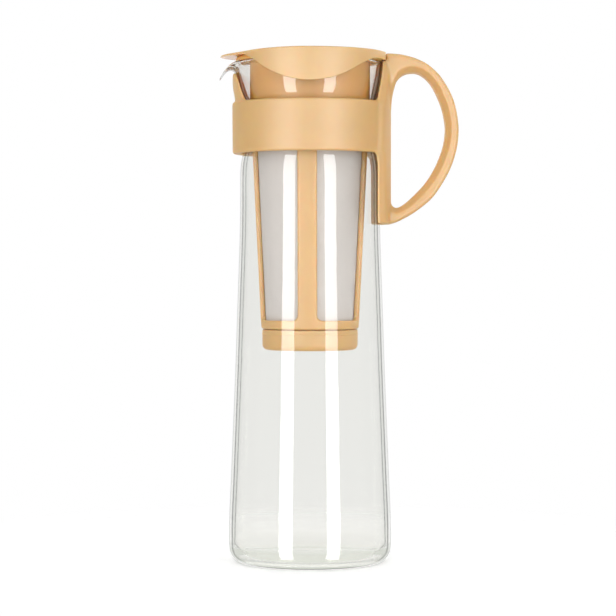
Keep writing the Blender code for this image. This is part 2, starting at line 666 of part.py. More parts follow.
def make_strainer_frame(material):
    """The frame: flange with a flat, ring, four ribs, foot ring and the spigot with its lugs."""
    flange_bottom = RIM_HEIGHT + SEAT_GAP
    flange_top = flange_bottom + STRAINER_FLANGE_THICKNESS
    spigot_bottom = STRAINER_FOOT - SPIGOT_LENGTH
    ledge = STRAINER_FOOT + LEDGE_HEIGHT
    bm = bmesh.new()
    turned(bm, (
        (STRAINER_RING_RADIUS, flange_bottom),
        (STRAINER_FLANGE_RADIUS, flange_bottom),
        (STRAINER_FLANGE_RADIUS, flange_top - EDGE_ROUND),
        (STRAINER_FLANGE_RADIUS - EDGE_ROUND, flange_top),
        (STRAINER_RING_RADIUS - STRAINER_WALL + EDGE_ROUND, flange_top),
        (STRAINER_RING_RADIUS - STRAINER_WALL, flange_top - EDGE_ROUND),
        (STRAINER_RING_RADIUS - STRAINER_WALL, STRAINER_RING_BOTTOM),
        (strainer_radius(ledge) - STRAINER_WALL, ledge),
        (SPIGOT_RADIUS - SPIGOT_WALL, ledge),
        (SPIGOT_RADIUS - SPIGOT_WALL, spigot_bottom),
        (SPIGOT_RADIUS - EDGE_ROUND, spigot_bottom),
        (SPIGOT_RADIUS, spigot_bottom + EDGE_ROUND),
        (SPIGOT_RADIUS, STRAINER_FOOT),
        (STRAINER_FOOT_RADIUS - EDGE_ROUND / 2, STRAINER_FOOT),
        (strainer_radius(STRAINER_FOOT + EDGE_ROUND), STRAINER_FOOT + EDGE_ROUND),
        (STRAINER_RING_RADIUS, STRAINER_RING_BOTTOM),
    ), closed=True)
    frame = add_object("strainer_frame", bm, material)

    flat = bmesh.new()
    bmesh.ops.create_cube(flat, size=2 * STRAINER_FLANGE_RADIUS)
    flat_x = tail_inside_x() - BAND_GAP
    bmesh.ops.translate(flat, vec=(flat_x + STRAINER_FLANGE_RADIUS, 0, RIM_HEIGHT), verts=flat.verts)
    boolean(frame, add_object("tool_flat", flat), 'DIFFERENCE')

    windows = bmesh.new()
    size = STRAINER_RING_RADIUS + OVERRUN - RIB_WIDTH / 2
    tall = WINDOW_TOP - WINDOW_BOTTOM
    for i in range(RIB_COUNT):
        made = bmesh.ops.create_cube(windows, size=1)["verts"]
        bmesh.ops.scale(windows, vec=(size, size, tall), verts=made)
        middle = (RIB_WIDTH + size) / 2
        bmesh.ops.translate(windows, vec=(middle, middle, WINDOW_BOTTOM + tall / 2), verts=made)
        turn = RIB_TURN + math.tau * i / RIB_COUNT
        for vert in made:
            x, y, z = vert.co
            radius = math.hypot(x, y)
            vert.co = at(radius, math.atan2(y, x) + turn, z)
    bmesh.ops.bevel(
        windows, geom=windows.edges[:], offset=WINDOW_CORNER, offset_type='OFFSET',
        segments=3, profile=0.5, affect='EDGES',
    )
    boolean(frame, add_object("tool_windows", windows), 'DIFFERENCE')

    lugs = bmesh.new()
    low = lug_bottom()
    for i in range(LUG_COUNT):
        middle = math.tau * i / LUG_COUNT
        corners = (
            (SPIGOT_RADIUS - SPIGOT_WALL / 2, low),
            (SPIGOT_RADIUS + LUG_REACH, low),
            (SPIGOT_RADIUS + LUG_REACH, low + LUG_HEIGHT),
            (SPIGOT_RADIUS - SPIGOT_WALL / 2, low + LUG_HEIGHT),
        )
        sweep = [middle + LUG_HALF_ANGLE * share for share in (-1, -0.5, 0, 0.5, 1)]
        loft(lugs, [[at(radius, angle, z) for radius, z in corners] for angle in sweep])
    boolean(frame, add_object("tool_lugs", lugs), 'UNION')
    return frame


def make_mesh_sleeve():
    """The fine mesh: one seamless sleeve that stands inside the frame on its ledge."""
    low = STRAINER_FOOT + LEDGE_HEIGHT + SEAT_GAP
    high = WINDOW_TOP + MESH_OVERLAP
    inset = STRAINER_WALL + SEAT_GAP
    bm = bmesh.new()
    turned(bm, (
        (strainer_radius(low) - inset, low),
        (strainer_radius(high) - inset, high),
        (strainer_radius(high) - inset - MESH_THICKNESS, high),
        (strainer_radius(low) - inset - MESH_THICKNESS, low),
    ), closed=True)
    mesh_cloth = finish("polyester_mesh", (0.62, 0.60, 0.57), 0.8, 0.0, 0.0, 0.55)
    return add_object("strainer_mesh", bm, mesh_cloth)


def make_strainer_cap(material):
    """The cap: a shallow cup that turns off the spigot's three lugs."""
    rim = STRAINER_FOOT - RUNNING_GAP
    bore = SPIGOT_RADIUS + SEAT_GAP
    floor = CAP_BOTTOM + CAP_FLOOR
    bead = rim - CAP_BEAD_DROP
    outline = [(0, CAP_BOTTOM)]
    for share in (0.0, 1 / 3, 2 / 3, 1.0):
        turn = share * math.pi / 2
        outline.append((
            CAP_RADIUS - CAP_CORNER * (1 - math.sin(turn)),
            CAP_BOTTOM + CAP_CORNER * (1 - math.cos(turn)),
        ))
    outline += [
        (CAP_RADIUS, bead - CAP_BEAD_HEIGHT),
        (CAP_RADIUS + CAP_BEAD_REACH, bead - CAP_BEAD_HEIGHT / 2),
        (CAP_RADIUS, bead),
        (CAP_RADIUS, rim - EDGE_ROUND),
        (CAP_RADIUS - EDGE_ROUND, rim),
        (bore, rim),
        (bore, floor),
        (0, floor),
    ]
    bm = bmesh.new()
    turned(bm, outline, closed=False)
    cap = add_object("strainer_cap", bm, material)

    slots = bmesh.new()
    low = lug_bottom() - SEAT_GAP
    high = lug_bottom() + LUG_HEIGHT + SEAT_GAP
    inner = SPIGOT_RADIUS - SPIGOT_WALL / 2
    outer = SPIGOT_RADIUS + LUG_REACH + RUNNING_GAP
    half = LUG_HALF_ANGLE + SLOT_CLEAR_ANGLE
    for i in range(LUG_COUNT):
        middle = math.tau * i / LUG_COUNT
        way_out = middle + CAP_TURN
        start = middle - half
        end = way_out - half - SLOT_CLEAR_ANGLE / 4
        places = [(between(start, end, share), high) for share in (0, 0.25, 0.5, 0.75, 1)]
        places += [(way_out + half * share, rim + OVERRUN) for share in (-1, -0.5, 0, 0.5, 1)]
        loft(slots, [
            [at(radius, angle, z) for radius, z in ((inner, low), (outer, low), (outer, top), (inner, top))]
            for angle, top in places
        ])
    boolean(cap, add_object("tool_slots", slots), 'DIFFERENCE')
    return cap


def skirt_depth(angle):
    """How far the lid's skirt hangs: an arc at the front and the back, a low wall at the tail."""
    full = lid_underside() - FLAP_BOTTOM
    across = LID_RADIUS * math.cos(angle)
    sag = FLAP_ARC_RADIUS - math.sqrt(FLAP_ARC_RADIUS ** 2 - across ** 2)
    least = TAIL_HANG if across > 0 else 0.0
    return max(full - sag, least)


def tail_inset(angle):
    """How far the skirt's inside is set in to keep a wall behind the flat tail."""
    inside = LID_RADIUS - FLAP_WALL
    if inside * math.cos(angle) <= tail_inside_x():
        return 0.0
    return inside - tail_inside_x() / math.cos(angle)


def visor_share(angle):
    """How much of the visor's reach the lid has at an angle."""
    away = abs(angle - math.pi)
    if away >= VISOR_HALF_ANGLE:
        return 0.0
    return (1 + math.cos(math.pi * away / VISOR_HALF_ANGLE)) / 2


def lid_underside():
    """The lid's rim rests on the strainer's flange."""
    return RIM_HEIGHT + SEAT_GAP + STRAINER_FLANGE_THICKNESS + SEAT_GAP


def make_lid(material):
    """The lid: a low disc with a visor, a flat tail, a hanging skirt and a plug ring."""
    under = lid_underside()
    plate = LID_EDGE_TOP - LID_PLATE
    plug = STRAINER_RING_RADIUS - STRAINER_WALL - SEAT_GAP
    skirt = LID_RADIUS - FLAP_WALL
    rim_inside = LID_RADIUS - LID_RIM_WIDTH
    # radius, height, shares of the visor's reach and drop, of the skirt's depth, of the tail's inset
    rows = (
        (LID_CENTRE_RADIUS, LID_TOP, 0, 0, 0, 0),
        (rim_inside, between(LID_EDGE_TOP, LID_TOP, 0.4), 0, 0, 0, 0),
        (LID_RADIUS - 3 * LID_ROUND, LID_EDGE_TOP, 0.9, 0.8, 0, 0),
        (LID_RADIUS - LID_ROUND, LID_EDGE_TOP - LID_ROUND / 2, 1, 1, 0, 0),
        (LID_RADIUS, LID_EDGE_TOP - 2 * LID_ROUND, 1, 1, 0, 0),
        (LID_RADIUS, under + LID_ROUND, 1, 0, 1, 0),
        (LID_RADIUS - LID_ROUND, under, 1, 0, 1, 0),
        (skirt + LID_ROUND / 2, under, 0, 0, 1, 1),
        (skirt - LID_ROUND / 2, under + LID_ROUND / 10, 0, 0, 0, 1),
        (rim_inside, under, 0, 0, 0, 0),
        (rim_inside - LID_ROUND, plate, 0, 0, 0, 0),
        (plug, plate, 0, 0, 0, 0),
        (plug, PLUG_BOTTOM + LID_ROUND, 0, 0, 0, 0),
        (plug - LID_ROUND, PLUG_BOTTOM, 0, 0, 0, 0),
        (plug - PLUG_WALL, PLUG_BOTTOM, 0, 0, 0, 0),
        (plug - PLUG_WALL, plate, 0, 0, 0, 0),
        (LID_CENTRE_RADIUS, plate, 0, 0, 0, 0),
    )
    angles = [math.tau * i / LID_STEPS for i in range(LID_STEPS)]
    rings = []
    for radius, height, reach, drop, hang, inset in rows:
        ring = []
        for angle in angles:
            visor = visor_share(angle)
            out = radius + reach * visor * VISOR_REACH - inset * tail_inset(angle)
            z = height - drop * visor * VISOR_DROP - hang * skirt_depth(angle)
            ring.append(at(out, angle, z))
        rings.append(ring)
    bm = bmesh.new()
    loft(bm, rings)
    lid = add_object("lid", bm, material)

    tail = bmesh.new()
    bmesh.ops.create_cube(tail, size=1)
    wide = 2 * LID_RADIUS
    bmesh.ops.scale(tail, vec=(wide, wide, wide), verts=tail.verts)
    bmesh.ops.translate(tail, vec=(LID_TAIL_X + wide / 2, 0, LID_TOP), verts=tail.verts)
    boolean(lid, add_object("tool_tail", tail), 'DIFFERENCE')
    return lid


def main():
    for old in list(bpy.data.objects):
        bpy.data.objects.remove(old, do_unlink=True)
    make_carafe()
    make_band()
    make_screw()
    make_strainer_frame(finish("tan_polypropylene_frame", (0.80, 0.55, 0.29), 0.35))
    make_mesh_sleeve()
    make_strainer_cap(finish("tan_polypropylene_cap", (0.79, 0.54, 0.28), 0.35))
    make_lid(finish("tan_polypropylene_lid", (0.82, 0.57, 0.31), 0.35))


main()
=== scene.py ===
import math

import bmesh
import bpy
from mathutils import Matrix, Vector


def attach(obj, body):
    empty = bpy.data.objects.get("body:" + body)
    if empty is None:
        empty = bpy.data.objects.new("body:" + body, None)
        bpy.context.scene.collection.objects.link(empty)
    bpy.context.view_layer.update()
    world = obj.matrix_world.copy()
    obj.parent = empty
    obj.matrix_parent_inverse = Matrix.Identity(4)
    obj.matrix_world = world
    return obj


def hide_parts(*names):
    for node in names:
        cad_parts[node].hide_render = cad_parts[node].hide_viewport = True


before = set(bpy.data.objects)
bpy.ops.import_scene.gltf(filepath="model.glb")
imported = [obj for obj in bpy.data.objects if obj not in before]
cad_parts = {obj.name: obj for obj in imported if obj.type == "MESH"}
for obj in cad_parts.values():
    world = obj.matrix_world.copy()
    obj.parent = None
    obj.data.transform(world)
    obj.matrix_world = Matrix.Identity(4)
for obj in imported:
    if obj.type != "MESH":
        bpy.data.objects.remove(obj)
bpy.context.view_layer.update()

# Camera. It stands 1.2 m in front of the pot, near the middle of its height, and looks slightly
# down, so that 354 mm of the room beside the pot's axis fill the picture.
VIEW_WIDTH = 0.3542
VIEW_CENTRE = Vector((-0.00115, 0, 0.1453))
CAMERA_PLACE = Vector((-0.00115, -1.22, 0.170))
SENSOR_WIDTH = 36

line_of_sight = VIEW_CENTRE - CAMERA_PLACE
camera_data = bpy.data.cameras.new("camera")
camera_data.sensor_width = SENSOR_WIDTH
camera_data.lens = SENSOR_WIDTH * line_of_sight.length / VIEW_WIDTH
camera = bpy.data.objects.new("camera", camera_data)
camera.location = CAMERA_PLACE
camera.rotation_euler = line_of_sight.to_track_quat('-Z', 'Y').to_euler()
bpy.context.scene.collection.objects.link(camera)
bpy.context.scene.camera = camera


# Glass carafe. Blown from borosilicate tube: a pressed foot with a shallow kick, a body that
# tapers to a shoulder, a neck that flares to a fire-polished rim, and a lip drawn down by hand
# while the rim was hot.
MM = 0.001
GLASS_STEPS = 160
GLASS_CURVE_STEPS = 2
WELD = 0.000002
# Edges sharper than this many degrees stay sharp, here and in each piece below
SHARP_GLASS = 60
GLASS_WALL = 1.75
# The outside's first row that the wall's inside follows
GLASS_INSIDE_FROM = 9
LIP_HALF_ANGLE = math.radians(29)
LIP_ROOT = 265.1
# The lip's drop falls off to its sides faster than its reach, by this power
LIP_DROP_POWER = 2.6
# How much of the light the glass lets by, from seen square on to seen along the wall. The dark line
# a little inside the edge, where the wall's inner side turns the light away, and the dark tone at
# the very edge are painted shade
GLASS_TONES = (
    (0.60, "#F6F6F4"), (0.69, "#E6E7E3"), (0.71, "#484A47"), (0.735, "#484A47"),
    (0.76, "#DCDDD9"), (0.82, "#D6D8D3"), (0.90, "#363836"),
)
# Painted light: the foot, up to a height, is made clearer where it lies flat, so that the shadowed
# floor seen through it looks lighter. The slopes between which that sets in
FOOT_PAINTED_LIGHT = "#FDFEFC"
FOOT_HEIGHT = 8.0
FOOT_FADE = 0.9
FOOT_SLOPES = (0.6, 0.9)
# Painted shade: a dark line runs round the heel, seen from outside, but not where the glass faces
# straight down
HEEL_PAINTED_SHADE = "#4A4C49"
HEEL_LINE = 1.0
HEEL_FADE = (1.2, 0.8)
HEEL_SLOPES = (-0.985, -0.95)
GLASS_INDEX = 1.474
# After how many bounces light is let out, and what lamplight and that light keep on their way
GLASS_BOUNCES = 4
LAMP_TONE = "#EAEBEA"
LET_OUT_TONE = "#F4F5F2"
# Outside from the middle of the foot to the root of the lip: radius and height
GLASS_OUTSIDE = (
    (0, 1.6), (14, 1.5), (27, 1.0), (34.5, 0.35), (38.2, 0.04), (40.8, 0.15), (43.2, 1.3),
    (45.2, 3.5), (46.3, 6.5), (46.65, 10), (46.7, 14), (46.65, 21), (46.2, 33), (45.6, 46),
    (44.65, 69), (43.7, 92), (42.8, 115), (42.05, 138), (41.25, 161), (40.45, 184),
    (40.1, 203), (40.1, 215), (40.0, 223), (39.5, 229), (38.3, 234.5), (37.2, 239.5),
    (36.8, 245), (36.8, 251), (36.85, 256), (37.3, 261), (38.3, 265),
)
# Lip, outside then rim then inside: radius and height round the rim, then along the spout
GLASS_LIP = (
    (39.4, 268.0, 39.9, 268.0), (40.2, 272.0, 41.0, 272.0), (41.0, 275.9, 41.8, 276.0),
    (41.5, 279.0, 42.7, 279.2), (41.8, 281.5, 44.3, 281.0), (42.0, 283.1, 46.6, 281.3),
    (42.2, 284.4, 49.0, 279.8), (42.3, 285.3, 51.2, 276.4), (41.3, 286.0, 51.7, 275.7),
    (40.3, 285.3, 51.6, 277.3), (40.2, 284.4, 48.6, 281.9), (40.0, 283.1, 46.2, 283.3),
    (39.8, 281.5, 43.0, 282.8), (39.5, 279.0, 40.9, 280.0), (39.0, 275.9, 39.9, 276.2),
    (38.2, 272.0, 39.0, 272.0), (37.4, 268.0, 37.9, 268.0),
)
# Inside of the foot, from the heel to the middle
GLASS_FLOOR = ((44.0, 7.6), (42.6, 4.9), (40.2, 3.3), (36, 2.8), (25, 3.4), (12, 3.9), (0, 4.0))


def curve_through(rows, steps):
    """Rows of numbers with a smooth curve drawn through them, steps points to each gap."""
    points = [rows[0]]
    for i in range(len(rows) - 1):
        four = (rows[max(i - 1, 0)], rows[i], rows[i + 1], rows[min(i + 2, len(rows) - 1)])
        for step in range(1, steps + 1):
            t = step / steps
            points.append(tuple(
                ((2 * b) + (c - a) * t + (2 * a - 5 * b + 4 * c - d) * t ** 2
                 + (3 * b - a - 3 * c + d) * t ** 3) / 2
                for a, b, c, d in zip(*four)
            ))
    return points


def turned(bm, outline, steps, closed):
    """Spins an outline of (radius, height) millimetres round the Z axis."""
    verts = [bm.verts.new((radius * MM, 0, height * MM)) for radius, height in outline]
    edges = [bm.edges.new(pair) for pair in zip(verts, verts[1:])]
    if closed:
        edges.append(bm.edges.new((verts[-1], verts[0])))
    bmesh.ops.spin(
        bm, geom=verts + edges, cent=(0, 0, 0), axis=(0, 0, 1),
        angle=math.tau, steps=steps, use_merge=True,
    )
    bmesh.ops.remove_doubles(bm, verts=bm.verts, dist=WELD)
    bmesh.ops.recalc_face_normals(bm, faces=bm.faces)


def linear(hex_colour):
    """An sRGB hex colour as the linear RGBA that a shader takes."""
    channels = [int(hex_colour[i:i + 2], 16) / 255 for i in (1, 3, 5)]
    return (*(c / 12.92 if c <= 0.04045 else ((c + 0.055) / 1.055) ** 2.4 for c in channels), 1)


def add_node(tree, kind, inputs=None, **settings):
    """Adds a node with its settings; each input is given a value or another node's output."""
    node = tree.nodes.new(kind)
    for name, value in settings.items():
        setattr(node, name, value)
    for name, value in (inputs or {}).items():
        if isinstance(value, bpy.types.NodeSocket):
            tree.links.new(value, node.inputs[name])
        else:
            node.inputs[name].default_value = value
    return node


def blank_material(name):
    """A material with an empty node tree."""
    material = bpy.data.materials.new(name)
    material.use_nodes = True
    material.node_tree.nodes.clear()
    return material, material.node_tree


def add_piece(name, bm, material, sharp_angle):
    """A finished piece of the pot, smooth but for the edges sharper than an angle."""
    mesh = bpy.data.meshes.new(name)
    bm.to_mesh(mesh)
    bm.free()
    mesh.materials.append(material)
    mesh.shade_smooth()
    mesh.set_sharp_from_angle(angle=math.radians(sharp_angle))
    piece = bpy.data.objects.new(name, mesh)
    bpy.context.scene.collection.objects.link(piece)
    return piece


def glass_outline():
    """The whole outline of the glass, with the spout's place for each point of the lip."""
    plain = [(radius, height, radius, height) for radius, height in GLASS_OUTSIDE]
    inside = [
        (radius - GLASS_WALL, height, radius - GLASS_WALL, height)
        for radius, height in reversed(GLASS_OUTSIDE[GLASS_INSIDE_FROM:])
    ]
    floor = [(radius, height, radius, height) for radius, height in GLASS_FLOOR]
    return curve_through(plain + list(GLASS_LIP) + inside + floor, GLASS_CURVE_STEPS)


def draw_lip(bm, outline):
    """Draws the rim out and down about -X, most in the middle of the spout."""
    lip = [row for row in outline if row[0] != row[2]]
    for vert in bm.verts:
        radius = math.hypot(vert.co.x, vert.co.y)
        away = math.pi - abs(math.atan2(vert.co.y, vert.co.x))
        if away >= LIP_HALF_ANGLE or vert.co.z < LIP_ROOT * MM:
            continue
        place = Vector((radius, vert.co.z)) / MM
        row = min(lip, key=lambda row: (Vector(row[:2]) - place).length)
        pull = (1 + math.cos(math.pi * away / LIP_HALF_ANGLE)) / 2
        out = (row[0] + (row[2] - row[0]) * pull) * MM / radius
        height = row[1] + (row[3] - row[1]) * pull ** LIP_DROP_POWER
        vert.co = (vert.co.x * out, vert.co.y * out, height * MM)


# Borosilicate glass, fire-polished: clear with a grey-green edge. Painted shade darkens it where it
# is seen along the wall and in a line round the heel, and painted light makes its foot clearer.
# Lamps shine through it, so that what stands inside is lit, and light that has been thrown about in
# the wall many times is let out, where a render would lose it.
glass, tree = blank_material("borosilicate_glass_fire_polished")
# Painted shade: a tone set by how the wall is seen, with a dark line inside the edge and a dark
# tone at the very edge
rim_dark = add_node(tree, "ShaderNodeLayerWeight", {"Blend": 0.5})
glass_tone = add_node(tree, "ShaderNodeValToRGB", {"Fac": rim_dark.outputs["Facing"]})
tones = glass_tone.color_ramp.elements
tones.remove(tones[1])
tones[0].position, tones[0].color = GLASS_TONES[0][0], linear(GLASS_TONES[0][1])
for share, hex_colour in GLASS_TONES[1:]:
    tones.new(share).color = linear(hex_colour)
glass_place = add_node(tree, "ShaderNodeSeparateXYZ", {
    "Vector": add_node(tree, "ShaderNodeTexCoord").outputs["Object"],
})
glass_face = add_node(tree, "ShaderNodeNewGeometry")
glass_slope = add_node(tree, "ShaderNodeSeparateXYZ", {"Vector": glass_face.outputs["Normal"]})
glass_flat = add_node(tree, "ShaderNodeMath", {0: glass_slope.outputs["Z"]}, operation='ABSOLUTE')
# Painted light: the foot's flat parts are made clearer, so that the shadowed floor seen through
# them looks lighter
flat_share = add_node(tree, "ShaderNodeMapRange", {
    "Value": glass_flat.outputs[0], "From Min": FOOT_SLOPES[0], "From Max": FOOT_SLOPES[1],
})
foot_light_share = add_node(tree, "ShaderNodeMapRange", {
    "Value": glass_place.outputs["Z"],
    "From Min": FOOT_HEIGHT * MM,
    "From Max": FOOT_FADE * FOOT_HEIGHT * MM,
    "To Max": flat_share.outputs["Result"],
})
foot_lit_tone = add_node(tree, "ShaderNodeMix", {
    0: foot_light_share.outputs["Result"], 6: glass_tone.outputs["Color"], 7: linear(FOOT_PAINTED_LIGHT),
}, data_type='RGBA')
# Painted shade: a dark line round the heel, seen from outside, where the contact shadow and
# refraction would darken it
turned_down = add_node(tree, "ShaderNodeMapRange", {
    "Value": glass_slope.outputs["Z"], "From Min": HEEL_SLOPES[0], "From Max": HEEL_SLOPES[1],
})
from_outside = add_node(tree, "ShaderNodeMath", {
    0: turned_down.outputs["Result"], 1: glass_face.outputs["Backfacing"],
}, operation='SUBTRACT', use_clamp=True)
heel_shade_share = add_node(tree, "ShaderNodeMapRange", {
    "Value": glass_place.outputs["Z"],
    "From Min": HEEL_FADE[0] * HEEL_LINE * MM,
    "From Max": HEEL_FADE[1] * HEEL_LINE * MM,
    "To Max": from_outside.outputs[0],
})
heel_shaded_tone = add_node(tree, "ShaderNodeMix", {
    0: heel_shade_share.outputs["Result"], 6: foot_lit_tone.outputs[2], 7: linear(HEEL_PAINTED_SHADE),
}, data_type='RGBA')
glass_shader = add_node(tree, "ShaderNodeBsdfPrincipled", {
    "Base Color": heel_shaded_tone.outputs[2],
    "Transmission Weight": 1.0,
    "Roughness": 0.0,
    "IOR": GLASS_INDEX,
})
light_path = add_node(tree, "ShaderNodeLightPath")
trapped = add_node(tree, "ShaderNodeMath", {
    0: light_path.outputs["Ray Depth"], 1: GLASS_BOUNCES + 0.5,
}, operation='GREATER_THAN')
let_out = add_node(tree, "ShaderNodeMath", {
    0: light_path.outputs["Is Shadow Ray"], 1: trapped.outputs[0],
}, operation='MAXIMUM')
pass_tone = add_node(tree, "ShaderNodeMix", {
    0: trapped.outputs[0], 6: linear(LAMP_TONE), 7: linear(LET_OUT_TONE),
}, data_type='RGBA')
lamp_pass = add_node(tree, "ShaderNodeBsdfTransparent", {"Color": pass_tone.outputs[2]})
glass_mix = add_node(tree, "ShaderNodeMixShader", {
    0: let_out.outputs[0],
    1: glass_shader.outputs[0],
    2: lamp_pass.outputs[0],
})
add_node(tree, "ShaderNodeOutputMaterial", {"Surface": glass_mix.outputs[0]})

outline = glass_outline()
bm = bmesh.new()
turned(bm, [row[:2] for row in outline], GLASS_STEPS, closed=False)
draw_lip(bm, outline)
carafe = add_piece("carafe", bm, glass, SHARP_GLASS)
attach(carafe, "pot")
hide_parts("glass_carafe")


# Handle band. One polypropylene moulding: a collar clamped round the neck, a pointed shield that
# stands on it under the spout, a saddle down the back and a D-shaped loop. The mould leaves
# every inner corner filleted, so the solids are fused into one skin.
BAND_VOXEL = 0.7
BAND_SMOOTHING = 4
COLLAR_STEPS = 160
# Collar's section: radius and height
COLLAR_SECTION = (
    (38.9, 233.7), (43.7, 233.7), (44.2, 233.9), (44.4, 234.4), (44.6, 262.0), (44.4, 262.6),
    (43.9, 262.8), (38.3, 262.8), (38.3, 260.4), (42.2, 260.4), (42.0, 236.1), (38.9, 236.1),
)
HANDLE_BOTTOM = 193.3
SADDLE_RADIUS = 46.5
SADDLE_EDGE = 44.3
SADDLE_INSIDE = 43.0
SADDLE_HALF_ANGLE = math.radians(31)
SADDLE_BLEND = math.radians(7)
# Faces across and along each skin
SADDLE_FACES = (60, 130)
SHIELD_FACES = (60, 40)
SHARP_BAND = 50
# Height and share of the half angle, from the saddle's foot to its top
SADDLE_WIDTHS = (
    (193.3, 0.875), (194.2, 0.91), (195.6, 0.923), (225.0, 0.923), (228.5, 0.935), (231.5, 0.97),
    (234.0, 1.08), (261.0, 1.04), (263.5, 0.95), (268.0, 0.868), (276.0, 0.70), (281.0, 0.62),
    (286.0, 0.55),
)
LOOP_ROOT = 43.9
LOOP_REACH = 84.8
LOOP_TOP = 290.6
# Loop, from its top root round to its bottom root: outer side then inner side, each as share
# of the reach and share of the handle's height
LOOP_SHARES = (
    (-0.014, 1.0, 0.02, 0.56), (0.05, 1.0, 0.058, 0.66), (0.12, 0.998, 0.072, 0.735),
    (0.19, 0.995, 0.116, 0.815), (0.267, 0.988, 0.168, 0.858), (0.34, 0.980, 0.238, 0.879),
    (0.411, 0.970, 0.320, 0.890), (0.577, 0.934, 0.460, 0.883), (0.755, 0.862, 0.622, 0.822),
    (0.909, 0.750, 0.758, 0.704), (0.983, 0.636, 0.815, 0.602), (1.0, 0.536, 0.820, 0.531),
    (0.972, 0.438, 0.785, 0.447), (0.892, 0.331, 0.692, 0.346), (0.765, 0.232, 0.560, 0.252),
    (0.620, 0.148, 0.397, 0.176), (0.397, 0.072, 0.255, 0.122), (0.195, 0.023, 0.145, 0.097),
    (0.09, 0.006, 0.072, 0.112), (0.0, 0.0, 0.0, 0.18),
)
LOOP_CURVE_STEPS = 4
# Half of the loop's section: half width, and depth from the inner side (share, millimetres)
LOOP_SECTION = (
    (8.2, 1.0, 0.0), (9.8, 1.0, -0.35), (10.7, 1.0, -1.2), (11.0, 1.0, -2.4),
    (10.55, 0.42, 0.0), (7.2, 0.0, 1.0), (6.7, 0.0, 0.35), (5.4, 0.0, 0.0),
)
# Shield: height, half angle, outer radius and wall
SHIELD_ROWS = (
    (260.8, 35.0, 42.5, 1.6), (262.4, 31.5, 42.6, 1.6), (264.1, 27.8, 42.9, 1.6),
    (267.4, 25.6, 43.5, 1.5), (270.8, 23.9, 44.1, 1.4), (274.2, 21.8, 44.4, 1.3),
    (276.8, 18.4, 44.4, 1.2), (278.4, 15.0, 44.3, 1.1), (279.4, 11.0, 44.2, 1.1),
)
BOSS_SIZE = (6.0, 6.6, 8.4)
BOSS_PLACE = (41.0, 0.0, 248.0)
SCREW_HEIGHT = 248.0
SCREW_HOLE = ((0, 30), (1.8, 30), (1.8, 44.4), (3.3, 44.4), (3.3, 50), (0, 50))
SCREW_HOLE_STEPS = 32
# The joint between the collar's two ends, a narrow slit behind the saddle's far edge
SPLIT_ANGLE = math.radians(36.3)
SPLIT_SIZE = (5.0, 0.55, 34.0)
SPLIT_PLACE = (45.8, 0.0, 248.2)


def table_value(rows, place):
    """Reads rows of (place, value) along straight lines."""
    for low, high in zip(rows, rows[1:]):
        if place <= high[0]:
            share = max(place - low[0], 0) / (high[0] - low[0])
            return low[1] + (high[1] - low[1]) * share
    return rows[-1][1]


def shaped_grid(bm, across, along, place):
    """A sheet of faces whose points are moved to place(u, v) millimetres, u and v from 0 to 1."""
    made = bmesh.ops.create_grid(bm, x_segments=across, y_segments=along, size=0.5, calc_uvs=True)
    for vert in made["verts"]:
        vert.co = Vector(place(vert.co.x + 0.5, vert.co.y + 0.5)) * MM


def place_round(radius, angle, height):
    """A point from its radius, its angle from +X and its height."""
    return radius * math.cos(angle), radius * math.sin(angle), height


def closed_shell(across, along, outer, inner):
    """A wall with an outer and an inner skin, bridged round its edge."""
    bm = bmesh.new()
    shaped_grid(bm, across, along, outer)
    shaped_grid(bm, across, along, inner)
    bmesh.ops.bridge_loops(bm, edges=[edge for edge in bm.edges if edge.is_boundary])
    bmesh.ops.recalc_face_normals(bm, faces=bm.faces)
    return bm


def link_object(name, bm):
    """Puts a bmesh in the scene as an object."""
    mesh = bpy.data.meshes.new(name)
    bm.to_mesh(mesh)
    bm.free()
    made = bpy.data.objects.new(name, mesh)
    bpy.context.scene.collection.objects.link(made)
    return made


def worked(bm, kind, tool=None, **settings):
    """What a modifier makes of a bmesh, with a second bmesh as its tool where it needs one."""
    used = [link_object("blank", bm)]
    modifier = used[0].modifiers.new(kind, kind)
    for name, value in settings.items():
        setattr(modifier, name, value)
    if tool is not None:
        used.append(link_object("tool", tool))
        modifier.object = used[1]
    result = bmesh.new()
    result.from_object(used[0], bpy.context.evaluated_depsgraph_get())
    for made in used:
        bpy.data.objects.remove(made, do_unlink=True)
    return result


def fused(solids, voxel, smoothing):
    """One skin round solids that overlap, smoothed as a mould leaves it."""
    whole = bmesh.new()
    for solid in solids:
        mesh = bpy.data.meshes.new("solid")
        solid.to_mesh(mesh)
        solid.free()
        whole.from_mesh(mesh)
        bpy.data.meshes.remove(mesh)
    skin = worked(whole, 'REMESH', mode='VOXEL', voxel_size=voxel * MM)
    for _ in range(smoothing):
        bmesh.ops.smooth_vert(
            skin, verts=skin.verts, factor=0.5, use_axis_x=True, use_axis_y=True, use_axis_z=True,
        )
    return skin


def block(size, place, turn=0.0):
    """A box of a size, put at a place and then turned about the Z axis."""
    bm = bmesh.new()
    made = bmesh.ops.create_cube(bm, size=MM)["verts"]
    bmesh.ops.scale(bm, vec=size, verts=made)
    bmesh.ops.translate(bm, vec=Vector(place) * MM, verts=made)
    towards = Vector((math.cos(turn), math.sin(turn), 0))
    matrix = Vector((1, 0, 0)).rotation_difference(towards).to_matrix()
    bmesh.ops.rotate(bm, cent=(0, 0, 0), matrix=matrix, verts=made)
    return bm


def ease(share):
    """Eases a share from 0 to 1."""
    share = min(max(share, 0.0), 1.0)
    return share * share * (3 - 2 * share)


def saddle_height(v):
    """The height at a share of the way up the saddle."""
    return HANDLE_BOTTOM + (SADDLE_WIDTHS[-1][0] - HANDLE_BOTTOM) * v


